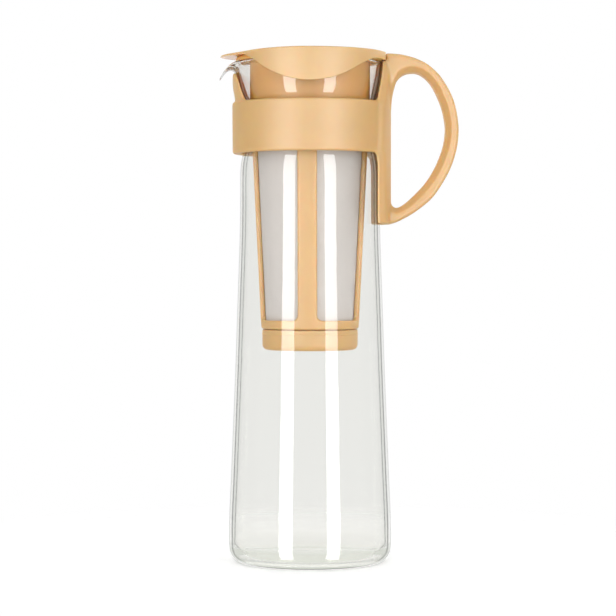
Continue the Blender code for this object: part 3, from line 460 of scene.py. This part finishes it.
def saddle_outside(u, v):
    """The saddle's outer skin, rounded down to its edges."""
    height = saddle_height(v)
    across = 2 * u - 1
    half = table_value(SADDLE_WIDTHS, height) * SADDLE_HALF_ANGLE
    rise = ease((1 - abs(across)) * half / SADDLE_BLEND)
    radius = SADDLE_EDGE + (SADDLE_RADIUS - SADDLE_EDGE) * rise
    return place_round(radius, across * half, height)


def saddle_inside(u, v):
    """The saddle's inner skin, clear of the glass."""
    height = saddle_height(v)
    across = 2 * u - 1
    half = table_value(SADDLE_WIDTHS, height) * SADDLE_HALF_ANGLE
    return place_round(SADDLE_INSIDE, across * half, height)


def shield_row(v):
    """The shield's height, half angle, radius and wall at a share of the way up."""
    heights = [row[0] for row in SHIELD_ROWS]
    height = heights[0] + (heights[-1] - heights[0]) * v
    values = [table_value([(row[0], row[i]) for row in SHIELD_ROWS], height) for i in (1, 2, 3)]
    return height, *values


def shield_outside(u, v):
    """The shield's outer skin."""
    height, half, radius, _ = shield_row(v)
    return place_round(radius, math.pi + math.radians(half) * (2 * u - 1), height)


def shield_inside(u, v):
    """The shield's inner skin, clear of the glass."""
    height, half, radius, wall = shield_row(v)
    return place_round(radius - wall, math.pi + math.radians(half) * (2 * u - 1), height)


def loop_solid():
    """The D-shaped loop, broad and rounded outside and narrower where the fingers go."""
    stations = curve_through(LOOP_SHARES, LOOP_CURVE_STEPS)
    section = LOOP_SECTION + tuple((-y, share, depth) for y, share, depth in reversed(LOOP_SECTION))
    section = section + section[:1]
    count = len(section) - 1

    def place(u, v):
        outer_x, outer_z, inner_x, inner_z = stations[round(v * (len(stations) - 1))]
        span = Vector((LOOP_REACH - LOOP_ROOT, 0, LOOP_TOP - HANDLE_BOTTOM))
        foot = Vector((LOOP_ROOT, 0, HANDLE_BOTTOM))
        outer = foot + Vector((outer_x * span.x, 0, outer_z * span.z))
        inner = foot + Vector((inner_x * span.x, 0, inner_z * span.z))
        y, share, depth = section[round(u * count)]
        along = (outer - inner).length
        point = inner + (outer - inner) * (share + depth / along)
        return point.x, y, point.z

    bm = bmesh.new()
    shaped_grid(bm, count, len(stations) - 1, place)
    bmesh.ops.remove_doubles(bm, verts=bm.verts, dist=WELD)
    bmesh.ops.holes_fill(bm, edges=[edge for edge in bm.edges if edge.is_boundary])
    bmesh.ops.recalc_face_normals(bm, faces=bm.faces)
    return bm


def along_x(bm, height):
    """Lays a shape made about the Z axis along +X at a height."""
    quarter = Vector((0, 0, 1)).rotation_difference(Vector((1, 0, 0))).to_matrix()
    bmesh.ops.rotate(bm, cent=(0, 0, 0), matrix=quarter, verts=bm.verts)
    bmesh.ops.translate(bm, vec=(0, 0, height * MM), verts=bm.verts)


# Polypropylene, injection moulded, satin: an even coffee-with-milk brown with a soft gloss. The
# mould's fine spark-eroded grain breaks the gloss up, and the melt's flow leaves faint clouds.
# Light spreads a few millimetres into it, red furthest.
GRAIN = 0.25
GRAIN_DEPTH = 0.05
CLOUD = 18.0
NOISE_RANGE = (0.3, 0.7)
CLOUD_TONES = (0.975, 1.02)
SATIN = (0.50, 0.60)
UNDER_SLOPES = (-0.5, -0.9)
PLASTIC_INDEX = 1.49
GLOW_DEPTH = 4.0
GLOW_SPREAD = (1.0, 0.5, 0.2)


def moulded_polypropylene(name, hex_colour, under_gloss=None, painted_backlight=None):
    """A satin polypropylene with the mould's grain and faint clouds in its colour.

    Its underside may have a gloss of its own. Painted light may deepen its colour between two
    heights, for light from behind that shines through the wall, given as the heights between which
    it sets in and the colour.
    """
    material, tree = blank_material(name)
    place = add_node(tree, "ShaderNodeTexCoord").outputs["Object"]
    base = linear(hex_colour)
    # Painted light: between two heights the colour is deepened, for light from behind that shines
    # through the wall
    if painted_backlight is not None:
        low, high, backlight_colour = painted_backlight
        height = add_node(tree, "ShaderNodeSeparateXYZ", {"Vector": place})
        backlight_share = add_node(tree, "ShaderNodeMapRange", {
            "Value": height.outputs["Z"], "From Min": low * MM, "From Max": high * MM,
        })
        base = add_node(tree, "ShaderNodeMix", {
            0: backlight_share.outputs["Result"], 6: base, 7: linear(backlight_colour),
        }, data_type='RGBA').outputs[2]
    grain = add_node(tree, "ShaderNodeTexNoise", {
        "Vector": place, "Scale": 1 / (GRAIN * MM), "Detail": 2.0, "Roughness": 0.6,
    })
    clouds = add_node(tree, "ShaderNodeTexNoise", {
        "Vector": place, "Scale": 1 / (CLOUD * MM), "Detail": 3.0, "Roughness": 0.5,
    })
    tone = add_node(tree, "ShaderNodeMapRange", {
        "Value": clouds.outputs["Fac"],
        "From Min": NOISE_RANGE[0], "From Max": NOISE_RANGE[1],
        "To Min": CLOUD_TONES[0], "To Max": CLOUD_TONES[1],
    })
    colour = add_node(tree, "ShaderNodeHueSaturation", {
        "Color": base, "Value": tone.outputs["Result"],
    })
    gloss = add_node(tree, "ShaderNodeMapRange", {
        "Value": grain.outputs["Fac"],
        "From Min": NOISE_RANGE[0], "From Max": NOISE_RANGE[1],
        "To Min": SATIN[0], "To Max": SATIN[1],
    })
    if under_gloss is not None:
        slope = add_node(tree, "ShaderNodeSeparateXYZ", {
            "Vector": add_node(tree, "ShaderNodeNewGeometry").outputs["Normal"],
        })
        gloss = add_node(tree, "ShaderNodeMapRange", {
            "Value": slope.outputs["Z"],
            "From Min": UNDER_SLOPES[0], "From Max": UNDER_SLOPES[1],
            "To Min": gloss.outputs["Result"], "To Max": under_gloss,
        })
    bump = add_node(tree, "ShaderNodeBump", {
        "Height": grain.outputs["Fac"], "Strength": 0.12, "Distance": GRAIN_DEPTH * MM,
    })
    shader = add_node(tree, "ShaderNodeBsdfPrincipled", {
        "Base Color": colour.outputs["Color"],
        "Roughness": gloss.outputs["Result"],
        "Normal": bump.outputs["Normal"],
        "IOR": PLASTIC_INDEX,
        "Specular IOR Level": 1.0,
        "Subsurface Weight": 0.8,
        "Subsurface Radius": GLOW_SPREAD,
        "Subsurface Scale": GLOW_DEPTH * MM,
    })
    add_node(tree, "ShaderNodeOutputMaterial", {"Surface": shader.outputs[0]})
    return material


collar = bmesh.new()
turned(collar, COLLAR_SECTION, COLLAR_STEPS, closed=True)
skin = fused([
    collar,
    closed_shell(*SADDLE_FACES, saddle_outside, saddle_inside),
    closed_shell(*SHIELD_FACES, shield_outside, shield_inside),
    loop_solid(),
    block(BOSS_SIZE, BOSS_PLACE),
], BAND_VOXEL, BAND_SMOOTHING)
screw_hole = bmesh.new()
turned(screw_hole, SCREW_HOLE, SCREW_HOLE_STEPS, closed=False)
along_x(screw_hole, SCREW_HEIGHT)
skin = worked(skin, 'BOOLEAN', tool=screw_hole, operation='DIFFERENCE', solver='MANIFOLD')
split = block(SPLIT_SIZE, SPLIT_PLACE, SPLIT_ANGLE)
skin = worked(skin, 'BOOLEAN', tool=split, operation='DIFFERENCE', solver='MANIFOLD')
band_plastic = moulded_polypropylene("band_polypropylene_moulded", "#D7AE70")
band = add_piece("handle_moulding", skin, band_plastic, SHARP_BAND)
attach(band, "pot")
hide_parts("handle_band")


# Screw. A small stainless pan-head screw in the saddle's spine, sunk in a counterbore. It pulls
# the collar's loose end tight under the saddle. Its head is stamped with a cross recess.
SCREW_STEPS = 40
SCREW_OUTLINE = (
    (0, 38.5), (1.0, 38.5), (1.5, 39.1), (1.5, 44.7), (2.9, 44.7), (3.0, 44.8), (3.0, 45.1),
    (2.8, 45.55), (2.2, 45.85), (1.2, 45.97), (0, 46.0),
)
SHARP_SCREW = 30
RECESS_DEEP = 1.4
RECESS_LONG = 3.0
RECESS_WIDE = 0.7
RECESS_PLACE = (46.1, 0, SCREW_HEIGHT)

# Stainless steel, cold headed and tumbled: bright with a soft blur.
TUMBLE_MARK = 0.4
STEEL_BLUR = (0.2, 0.38)

steel, tree = blank_material("stainless_steel_tumbled")
steel_place = add_node(tree, "ShaderNodeTexCoord").outputs["Object"]
steel_marks = add_node(tree, "ShaderNodeTexNoise", {
    "Vector": steel_place, "Scale": 1 / (TUMBLE_MARK * MM), "Detail": 3.0,
})
steel_gloss = add_node(tree, "ShaderNodeMapRange", {
    "Value": steel_marks.outputs["Fac"], "To Min": STEEL_BLUR[0], "To Max": STEEL_BLUR[1],
})
steel_shader = add_node(tree, "ShaderNodeBsdfPrincipled", {
    "Base Color": linear("#C9C8C5"),
    "Metallic": 1.0,
    "Roughness": steel_gloss.outputs["Result"],
})
add_node(tree, "ShaderNodeOutputMaterial", {"Surface": steel_shader.outputs[0]})

bm = bmesh.new()
turned(bm, SCREW_OUTLINE, SCREW_STEPS, closed=False)
along_x(bm, SCREW_HEIGHT)
for sides in ((RECESS_LONG, RECESS_WIDE), (RECESS_WIDE, RECESS_LONG)):
    bar = block((RECESS_DEEP, *sides), RECESS_PLACE)
    bm = worked(bm, 'BOOLEAN', tool=bar, operation='DIFFERENCE', solver='EXACT')
screw = add_piece("collar_screw", bm, steel, SHARP_SCREW)
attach(screw, "pot")
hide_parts("band_screw")


# Strainer frame. One polypropylene moulding: a flange that hangs on the glass rim, a ring, four
# ribs down to a foot ring, and a spigot with three lugs for the cap.
FRAME_VOXEL = 0.74
FRAME_SMOOTHING = 3
FRAME_STEPS = 144
SHARP_FRAME = 60
# Section: radius and height
FRAME_SECTION = (
    (34.4, 286.3), (42.2, 286.3), (42.6, 286.7), (42.6, 288.2), (42.2, 288.6), (32.6, 288.6),
    (32.2, 288.2), (32.2, 267.0), (31.4, 263.0), (25.3, 134.9), (22.5, 134.9), (22.5, 124.5),
    (23.9, 124.5), (24.3, 124.9), (24.3, 133.4), (27.7, 133.4), (28.03, 133.9), (34.4, 264.0),
)
WINDOW_LOW = 138.5
WINDOW_HIGH = 240.0
WINDOW_CORNER = 3.0
WINDOW_CORNER_STEPS = 6
RIB_WIDTH = 10.9
RIB_COUNT = 4
RIB_TURN = math.radians(-3.1)
WINDOW_REACH = 40.0
FLANGE_FLAT = (20.0, 60.0, 8.0)
FLANGE_FLAT_PLACE = (51.1, 0.0, 287.0)
LUG_COUNT = 3
LUG_SIZE = (2.6, 7.8, 2.0)
LUG_PLACE = (24.05, 0.0, 127.5)
# Painted light: between two heights the ring's colour is deepened, for light from behind that
# shines through its wall
RING_PAINTED_BACKLIGHT = (246, 264, "#DEA34A")


def window_cutter(turn):
    """A block with rounded corners that opens one window between two ribs."""
    size = WINDOW_REACH
    tall = WINDOW_HIGH - WINDOW_LOW
    middle = (RIB_WIDTH + size) / 2
    bm = bmesh.new()
    bmesh.ops.create_cube(bm, size=MM)
    bmesh.ops.scale(bm, vec=(size, size, tall), verts=bm.verts)
    bmesh.ops.translate(
        bm, vec=Vector((middle, middle, WINDOW_LOW + tall / 2)) * MM, verts=bm.verts,
    )
    bmesh.ops.bevel(
        bm, geom=bm.edges[:], offset=WINDOW_CORNER * MM, offset_type='OFFSET',
        segments=WINDOW_CORNER_STEPS, profile=0.5, affect='EDGES', material=-1,
    )
    for vert in bm.verts:
        radius = math.hypot(vert.co.x, vert.co.y)
        angle = math.atan2(vert.co.y, vert.co.x) + turn
        vert.co = place_round(radius, angle, vert.co.z)
    return bm


bm = bmesh.new()
turned(bm, FRAME_SECTION, FRAME_STEPS, closed=True)
for i in range(RIB_COUNT):
    cutter = window_cutter(RIB_TURN + math.tau * i / RIB_COUNT)
    bm = worked(bm, 'BOOLEAN', tool=cutter, operation='DIFFERENCE', solver='MANIFOLD')
flat = block(FLANGE_FLAT, FLANGE_FLAT_PLACE)
bm = worked(bm, 'BOOLEAN', tool=flat, operation='DIFFERENCE', solver='MANIFOLD')
lugs = [block(LUG_SIZE, LUG_PLACE, math.tau * i / LUG_COUNT) for i in range(LUG_COUNT)]
skin = fused([bm, *lugs], FRAME_VOXEL, FRAME_SMOOTHING)
frame_plastic = moulded_polypropylene(
    "frame_polypropylene_moulded", "#D8A962", painted_backlight=RING_PAINTED_BACKLIGHT,
)
strainer = add_piece("strainer_moulding", skin, frame_plastic, SHARP_FRAME)
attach(strainer, "strainer")
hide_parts("strainer_frame")


# Strainer mesh. A sleeve of fine woven polyester cloth, welded into the frame when it is
# moulded and stretched over its windows. Seen close, it is a plain weave of round threads.
MESH_LOW = 135.2
MESH_HIGH = 245.8
MESH_LOW_RADIUS = 25.2
MESH_HIGH_RADIUS = 30.5
MESH_AROUND = 144
MESH_ALONG = 60
SHARP_NOWHERE = 180
THREAD_PITCH = 0.45


def mesh_place(u, v):
    """The sleeve stands inside the frame's cone."""
    radius = MESH_LOW_RADIUS + (MESH_HIGH_RADIUS - MESH_LOW_RADIUS) * v
    return place_round(radius, math.tau * u, MESH_LOW + (MESH_HIGH - MESH_LOW) * v)


# Polyester monofilament cloth, plain weave: pale grey threads with small square holes. The real
# pitch of about 0.15 mm is too fine to show, so it is drawn at 0.45 mm. The holes let a quarter
# less by than open air would, for the threads that the coarse pitch leaves out.
HOLE_DEPTHS = (-0.45, -0.15)
HOLE_COVER = 0.25
THREAD_RISE = 0.1

cloth, tree = blank_material("polyester_mesh_plain_weave")
threads = add_node(tree, "ShaderNodeUVMap", uv_map="threads")
across = add_node(tree, "ShaderNodeSeparateXYZ", {"Vector": threads.outputs["UV"]})
mesh_round = math.pi * (MESH_LOW_RADIUS + MESH_HIGH_RADIUS)
mesh_slant = math.hypot(MESH_HIGH - MESH_LOW, MESH_HIGH_RADIUS - MESH_LOW_RADIUS)
waves = []
for axis, length in (("X", mesh_round), ("Y", mesh_slant)):
    count = round(length / THREAD_PITCH)
    turn = add_node(tree, "ShaderNodeMath", {
        0: across.outputs[axis], 1: count * math.tau,
    }, operation='MULTIPLY')
    wave = add_node(tree, "ShaderNodeMath", {0: turn.outputs[0]}, operation='COSINE')
    waves.append(wave.outputs[0])
thread_height = add_node(tree, "ShaderNodeMath", {0: waves[0], 1: waves[1]}, operation='MAXIMUM')
cover = add_node(tree, "ShaderNodeMapRange", {
    "Value": thread_height.outputs[0],
    "From Min": HOLE_DEPTHS[0], "From Max": HOLE_DEPTHS[1],
    "To Min": HOLE_COVER, "To Max": 1.0,
})
cloth_bump = add_node(tree, "ShaderNodeBump", {
    "Height": thread_height.outputs[0], "Strength": 0.4, "Distance": THREAD_RISE * MM,
})
cloth_shader = add_node(tree, "ShaderNodeBsdfPrincipled", {
    "Base Color": linear("#E3DCDA"),
    "Roughness": 0.65,
    "Alpha": cover.outputs["Result"],
    "Normal": cloth_bump.outputs["Normal"],
    "IOR": 1.57,
})
add_node(tree, "ShaderNodeOutputMaterial", {"Surface": cloth_shader.outputs[0]})

bm = bmesh.new()
bm.loops.layers.uv.new("threads")
shaped_grid(bm, MESH_AROUND, MESH_ALONG, mesh_place)
bmesh.ops.remove_doubles(bm, verts=bm.verts, dist=WELD)
bmesh.ops.recalc_face_normals(bm, faces=bm.faces)
sleeve = add_piece("mesh_sleeve", bm, cloth, SHARP_NOWHERE)
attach(sleeve, "strainer")
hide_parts("strainer_mesh")


# Strainer cap. A shallow polypropylene cup that turns on to the spigot's three lugs and closes
# the strainer. A fine bead runs round it below its rim, and inside, three L-shaped slots take
# the lugs.
CAP_STEPS = 144
SHARP_CAP = 30
CAP_OUTLINE = (
    (0, 121.4), (24.2, 121.4), (25.4, 121.6), (26.4, 122.2), (27.05, 123.1), (27.35, 124.2),
    (27.4, 125.0), (27.4, 130.1), (27.55, 130.25), (27.6, 130.55), (27.55, 130.85),
    (27.4, 131.0), (27.4, 132.5), (27.25, 132.85), (26.9, 133.0), (24.9, 133.0),
    (24.65, 132.75), (24.65, 123.5), (0, 123.5),
)
SLOT_DEEP = (3.6, 8.9, 9.0)
SLOT_LOW = (3.6, 8.9, 2.9)
SLOT_PLACE = 24.2
SLOT_BOTTOM = 126.2
SLOT_TURN = math.radians(45)
SLOT_STEPS = 6

bm = bmesh.new()
turned(bm, CAP_OUTLINE, CAP_STEPS, closed=False)
for i in range(LUG_COUNT):
    start = math.tau * i / LUG_COUNT
    slots = [(SLOT_LOW, start + SLOT_TURN * step / SLOT_STEPS) for step in range(SLOT_STEPS)]
    slots.append((SLOT_DEEP, start + SLOT_TURN))
    for size, turn in slots:
        cutter = block(size, (SLOT_PLACE, 0, SLOT_BOTTOM + size[2] / 2), turn)
        bm = worked(bm, 'BOOLEAN', tool=cutter, operation='DIFFERENCE', solver='MANIFOLD')
cap_plastic = moulded_polypropylene("cap_polypropylene_moulded", "#D8A962")
cap = add_piece("cap_cup", bm, cap_plastic, SHARP_CAP)
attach(cap, "cap")
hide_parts("strainer_cap")


# Lid. A low polypropylene disc with a visor over the spout, a flat tail at the handle, a skirt
# that hangs in an arc at the front and the back, and a plug ring inside the strainer. The mould's
# polished core leaves its underside glossier than its top.
LID_STEPS = 240
SHARP_LID = 35
LID_UNDER_GLOSS = 0.2
LID_RADIUS = 44.9
LID_UNDER = 288.9
LID_TAIL = 43.1
TAIL_INSIDE = 41.6
TAIL_HANG = 2.5
VISOR_REACH = 6.5
VISOR_DROP = 1.2
DROP_SPREAD = 2.6
VISOR_HALF_ANGLE = math.radians(33)
FLAP_BOTTOM = 272.5
FLAP_ARC = 45.5
FLAP_BLEND = 7.0
TAIL_EASE = 30.0
SKIRT_INSIDE = 43.1
# Section from the top's middle to the underside's: radius, height, then shares of the visor's
# reach and drop, of the skirt's depth and of the inset behind the tail
LID_SECTION = (
    (0, 292.2, 0, 0, 0, 0), (10, 292.2, 0, 0, 0, 0), (20, 292.1, 0, 0, 0, 0),
    (30, 291.9, 0, 0.1, 0, 0), (38, 291.65, 0.2, 0.4, 0, 0), (42, 291.45, 0.75, 0.8, 0, 0),
    (43.4, 291.3, 0.95, 0.95, 0, 0), (44.3, 291.0, 1, 1, 0, 0), (44.75, 290.6, 1, 1, 0, 0),
    (44.9, 290.2, 1, 1, 0.04, 0), (44.9, 289.4, 1, 0.3, 0.97, 0), (44.75, 289.05, 1, 0.05, 1, 0),
    (44.4, 288.9, 1, 0, 1, 0), (43.55, 288.9, 0.1, 0, 1, 1), (43.3, 289.0, 0, 0, 0.99, 1),
    (42.85, 288.95, 0, 0, 0, 1), (40.5, 288.9, 0, 0, 0, 0), (40.1, 289.3, 0, 0, 0, 0),
    (40.0, 289.8, 0, 0, 0, 0), (31.9, 289.8, 0, 0, 0, 0), (31.9, 278.5, 0, 0, 0, 0),
    (31.4, 278.0, 0, 0, 0, 0), (30.4, 278.0, 0, 0, 0, 0), (30.1, 278.3, 0, 0, 0, 0),
    (30.1, 289.8, 0, 0, 0, 0), (15, 289.8, 0, 0, 0, 0), (0, 289.8, 0, 0, 0, 0),
)


def visor_share(angle, spread=1.0):
    """How much of the visor's reach, or of its drop, the lid has at an angle."""
    away = abs(angle - math.pi) / (VISOR_HALF_ANGLE * spread)
    return (1 + math.cos(math.pi * min(away, 1.0))) / 2


def skirt_depth(angle):
    """How far the skirt hangs: an arc at the front and the back, a low wall at the tail."""
    across = LID_RADIUS * math.cos(angle)
    arc = LID_UNDER - FLAP_BOTTOM - FLAP_ARC + math.sqrt(FLAP_ARC ** 2 - across ** 2)
    least = TAIL_HANG * ease(across / TAIL_EASE)
    near = max(FLAP_BLEND - abs(arc - least), 0.0) / FLAP_BLEND
    return max(arc, least) + near ** 2 * FLAP_BLEND / 4


def tail_inset(angle):
    """How far the skirt's inside is set in behind the flat tail."""
    if SKIRT_INSIDE * math.cos(angle) <= TAIL_INSIDE:
        return 0.0
    return SKIRT_INSIDE - TAIL_INSIDE / math.cos(angle)


def lid_place(u, v):
    """A point of the lid from its angle and its place along the section."""
    angle = math.tau * u
    radius, height, reach, drop, hang, inset = LID_SECTION[round(v * (len(LID_SECTION) - 1))]
    visor = visor_share(angle)
    out = radius + reach * visor * VISOR_REACH - inset * tail_inset(angle)
    down = drop * visor_share(angle, DROP_SPREAD) * VISOR_DROP + hang * skirt_depth(angle)
    return place_round(out, angle, height - down)


bm = bmesh.new()
shaped_grid(bm, LID_STEPS, len(LID_SECTION) - 1, lid_place)
bmesh.ops.remove_doubles(bm, verts=bm.verts, dist=WELD)
bmesh.ops.recalc_face_normals(bm, faces=bm.faces)
bmesh.ops.bisect_plane(
    bm, geom=bm.verts[:] + bm.edges[:] + bm.faces[:], plane_co=(LID_TAIL * MM, 0, 0),
    plane_no=(1, 0, 0), clear_outer=True,
)
bmesh.ops.holes_fill(bm, edges=[edge for edge in bm.edges if edge.is_boundary])
lid_plastic = moulded_polypropylene("lid_polypropylene_moulded", "#D9B276", LID_UNDER_GLOSS)
lid = add_piece("lid_cover", bm, lid_plastic, SHARP_LID)
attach(lid, "lid")
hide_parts("lid")


# Floor. A plain white disc that keeps the pot's shadow. A little light of its own makes it as
# white as the room where it is unshadowed. From FLOOR_PLAIN to its rim it fades into the room, it
# is open from below, and mirror rays pass it, so that no view shows where it ends.
FLOOR_RADIUS = 0.30
FLOOR_PLAIN = 0.12
FLOOR_STEPS = 96
FLOOR_DROP = 0.0002
FLOOR_LIFT = 0.27

floor_material, tree = blank_material("white_paper")
floor_path = add_node(tree, "ShaderNodeLightPath")
seen = add_node(tree, "ShaderNodeMath", {
    0: floor_path.outputs["Is Camera Ray"], 1: floor_path.outputs["Is Transmission Ray"],
}, operation='MAXIMUM')
floor_glow = add_node(tree, "ShaderNodeMath", {
    0: seen.outputs[0], 1: FLOOR_LIFT,
}, operation='MULTIPLY')
floor_shader = add_node(tree, "ShaderNodeBsdfPrincipled", {
    "Base Color": linear("#F2F2F2"),
    "Roughness": 0.9,
    "Emission Color": (1, 1, 1, 1),
    "Emission Strength": floor_glow.outputs[0],
})
mirrored = add_node(tree, "ShaderNodeMath", {
    0: floor_path.outputs["Is Glossy Ray"], 1: floor_path.outputs["Is Transmission Ray"],
}, operation='SUBTRACT', use_clamp=True)
from_middle = add_node(tree, "ShaderNodeVectorMath", {
    0: add_node(tree, "ShaderNodeTexCoord").outputs["Object"],
}, operation='LENGTH')
fade = add_node(tree, "ShaderNodeMapRange", {
    "Value": from_middle.outputs["Value"], "From Min": FLOOR_PLAIN, "From Max": FLOOR_RADIUS,
}, interpolation_type='SMOOTHSTEP')
open_side = add_node(tree, "ShaderNodeMath", {
    0: fade.outputs["Result"], 1: add_node(tree, "ShaderNodeNewGeometry").outputs["Backfacing"],
}, operation='MAXIMUM')
looked_through = add_node(tree, "ShaderNodeMath", {
    0: open_side.outputs[0], 1: seen.outputs[0],
}, operation='MULTIPLY')
passed = add_node(tree, "ShaderNodeMath", {
    0: mirrored.outputs[0], 1: looked_through.outputs[0],
}, operation='MAXIMUM')
floor_clear = add_node(tree, "ShaderNodeBsdfTransparent", {"Color": (1, 1, 1, 1)})
floor_mix = add_node(tree, "ShaderNodeMixShader", {
    0: passed.outputs[0], 1: floor_shader.outputs[0], 2: floor_clear.outputs[0],
})
add_node(tree, "ShaderNodeOutputMaterial", {"Surface": floor_mix.outputs[0]})

bm = bmesh.new()
bmesh.ops.create_circle(bm, cap_ends=True, segments=FLOOR_STEPS, radius=FLOOR_RADIUS)
bmesh.ops.translate(bm, vec=(0, 0, -FLOOR_DROP), verts=bm.verts)
floor = link_object("floor", bm)
floor.data.materials.append(floor_material)


# Light. Two tall strip boxes stand to the left and the right of the camera, and two weaker ones
# behind the pot. The room is an even white to the camera and through the glass. Gloss sees it dim
# in front and white behind and overhead, as a photographer's dark cards and white sweep make it.
GLOSS_LEVEL = 0.18
# How much light the room throws from below, from all round above, and from overhead
AMBIENT_BELOW = 0.85
AMBIENT_ABOVE = 0.35
AMBIENT_OVERHEAD = 0.95
# Between which parts of a direction below turns to above, above to overhead, and front to behind
LEVEL = (-0.1, 0.1)
OVERHEAD = (0.55, 0.85)
BEHIND = (0.5, 0.9)
# Each box is made twice, once to light surfaces and once to show in gloss. The second stands this
# much further away, because two boxes at one place hide one another.
LAMP_GAP = 0.02
# Azimuth from the camera's side, distance, width, height, middle's height, how much further down
# gloss sees the box, then how bright the box lights a surface and how bright gloss shows it
LAMPS = (
    (-34, 1.45, 0.52, 1.4, 0.40, 0.6, 3.55, 9.8),
    (33, 1.45, 0.50, 1.4, 0.40, 0.6, 3.55, 9.8),
    (-152, 1.60, 0.70, 1.4, 0.45, 0.0, 2.0, 0.0),
    (123, 1.60, 0.60, 1.0, 0.76, 0.0, 3.0, 3.0),
)

world = bpy.data.worlds.new("white_room")
world.use_nodes = True
tree = world.node_tree
tree.nodes.clear()
room_path = add_node(tree, "ShaderNodeLightPath")
seen = add_node(tree, "ShaderNodeMath", {
    0: room_path.outputs["Is Camera Ray"], 1: room_path.outputs["Transmission Depth"],
}, operation='ADD', use_clamp=True)
room_side = add_node(tree, "ShaderNodeSeparateXYZ", {
    "Vector": add_node(tree, "ShaderNodeTexCoord").outputs["Generated"],
})
gloss_behind = add_node(tree, "ShaderNodeMapRange", {
    "Value": room_side.outputs["Y"], "From Min": BEHIND[0], "From Max": BEHIND[1],
    "To Min": GLOSS_LEVEL, "To Max": 1.0,
})
glossy = add_node(tree, "ShaderNodeMapRange", {
    "Value": room_side.outputs["Z"], "From Min": OVERHEAD[0], "From Max": OVERHEAD[1],
    "To Min": gloss_behind.outputs["Result"], "To Max": 1.0,
})
plain = add_node(tree, "ShaderNodeMapRange", {
    "Value": seen.outputs[0], "To Min": glossy.outputs["Result"], "To Max": 1.0,
})
lighting = add_node(tree, "ShaderNodeMath", {
    0: room_path.outputs["Diffuse Depth"], 1: 0.5,
}, operation='GREATER_THAN')
overhead = add_node(tree, "ShaderNodeMapRange", {
    "Value": room_side.outputs["Z"], "From Min": OVERHEAD[0], "From Max": OVERHEAD[1],
    "To Min": AMBIENT_ABOVE, "To Max": AMBIENT_OVERHEAD,
})
ambient = add_node(tree, "ShaderNodeMapRange", {
    "Value": room_side.outputs["Z"], "From Min": LEVEL[0], "From Max": LEVEL[1],
    "To Min": AMBIENT_BELOW, "To Max": overhead.outputs["Result"],
})
strength = add_node(tree, "ShaderNodeMix", {
    0: lighting.outputs[0], 2: plain.outputs["Result"], 3: ambient.outputs["Result"],
})
room = add_node(tree, "ShaderNodeBackground", {
    "Color": (1, 1, 1, 1), "Strength": strength.outputs[0],
})
add_node(tree, "ShaderNodeOutputWorld", {"Surface": room.outputs[0]})
bpy.context.scene.world = world

for azimuth, distance, width, height, middle, fall, *radiances in LAMPS:
    turn = math.radians(azimuth)
    for in_gloss, radiance in enumerate(radiances):
        away = distance + in_gloss * LAMP_GAP
        tall = height + in_gloss * fall
        lowered = middle - (tall - height) / 2
        place = Vector((away * math.sin(turn), -away * math.cos(turn), lowered))
        towards = Vector((-place.x, -place.y, 0))
        lamp_data = bpy.data.lights.new("strip_box", 'AREA')
        lamp_data.shape = 'RECTANGLE'
        lamp_data.size = width
        lamp_data.size_y = tall
        lamp_data.energy = radiance * math.pi * width * tall
        lamp = bpy.data.objects.new("strip_box", lamp_data)
        lamp.location = place
        lamp.rotation_euler = towards.to_track_quat('-Z', 'Y').to_euler()
        lamp.visible_camera = False
        lamp.visible_transmission = False
        lamp.visible_diffuse = in_gloss == 0
        lamp.visible_glossy = in_gloss == 1
        bpy.context.scene.collection.objects.link(lamp)

bpy.context.scene.view_settings.view_transform = 'Standard'
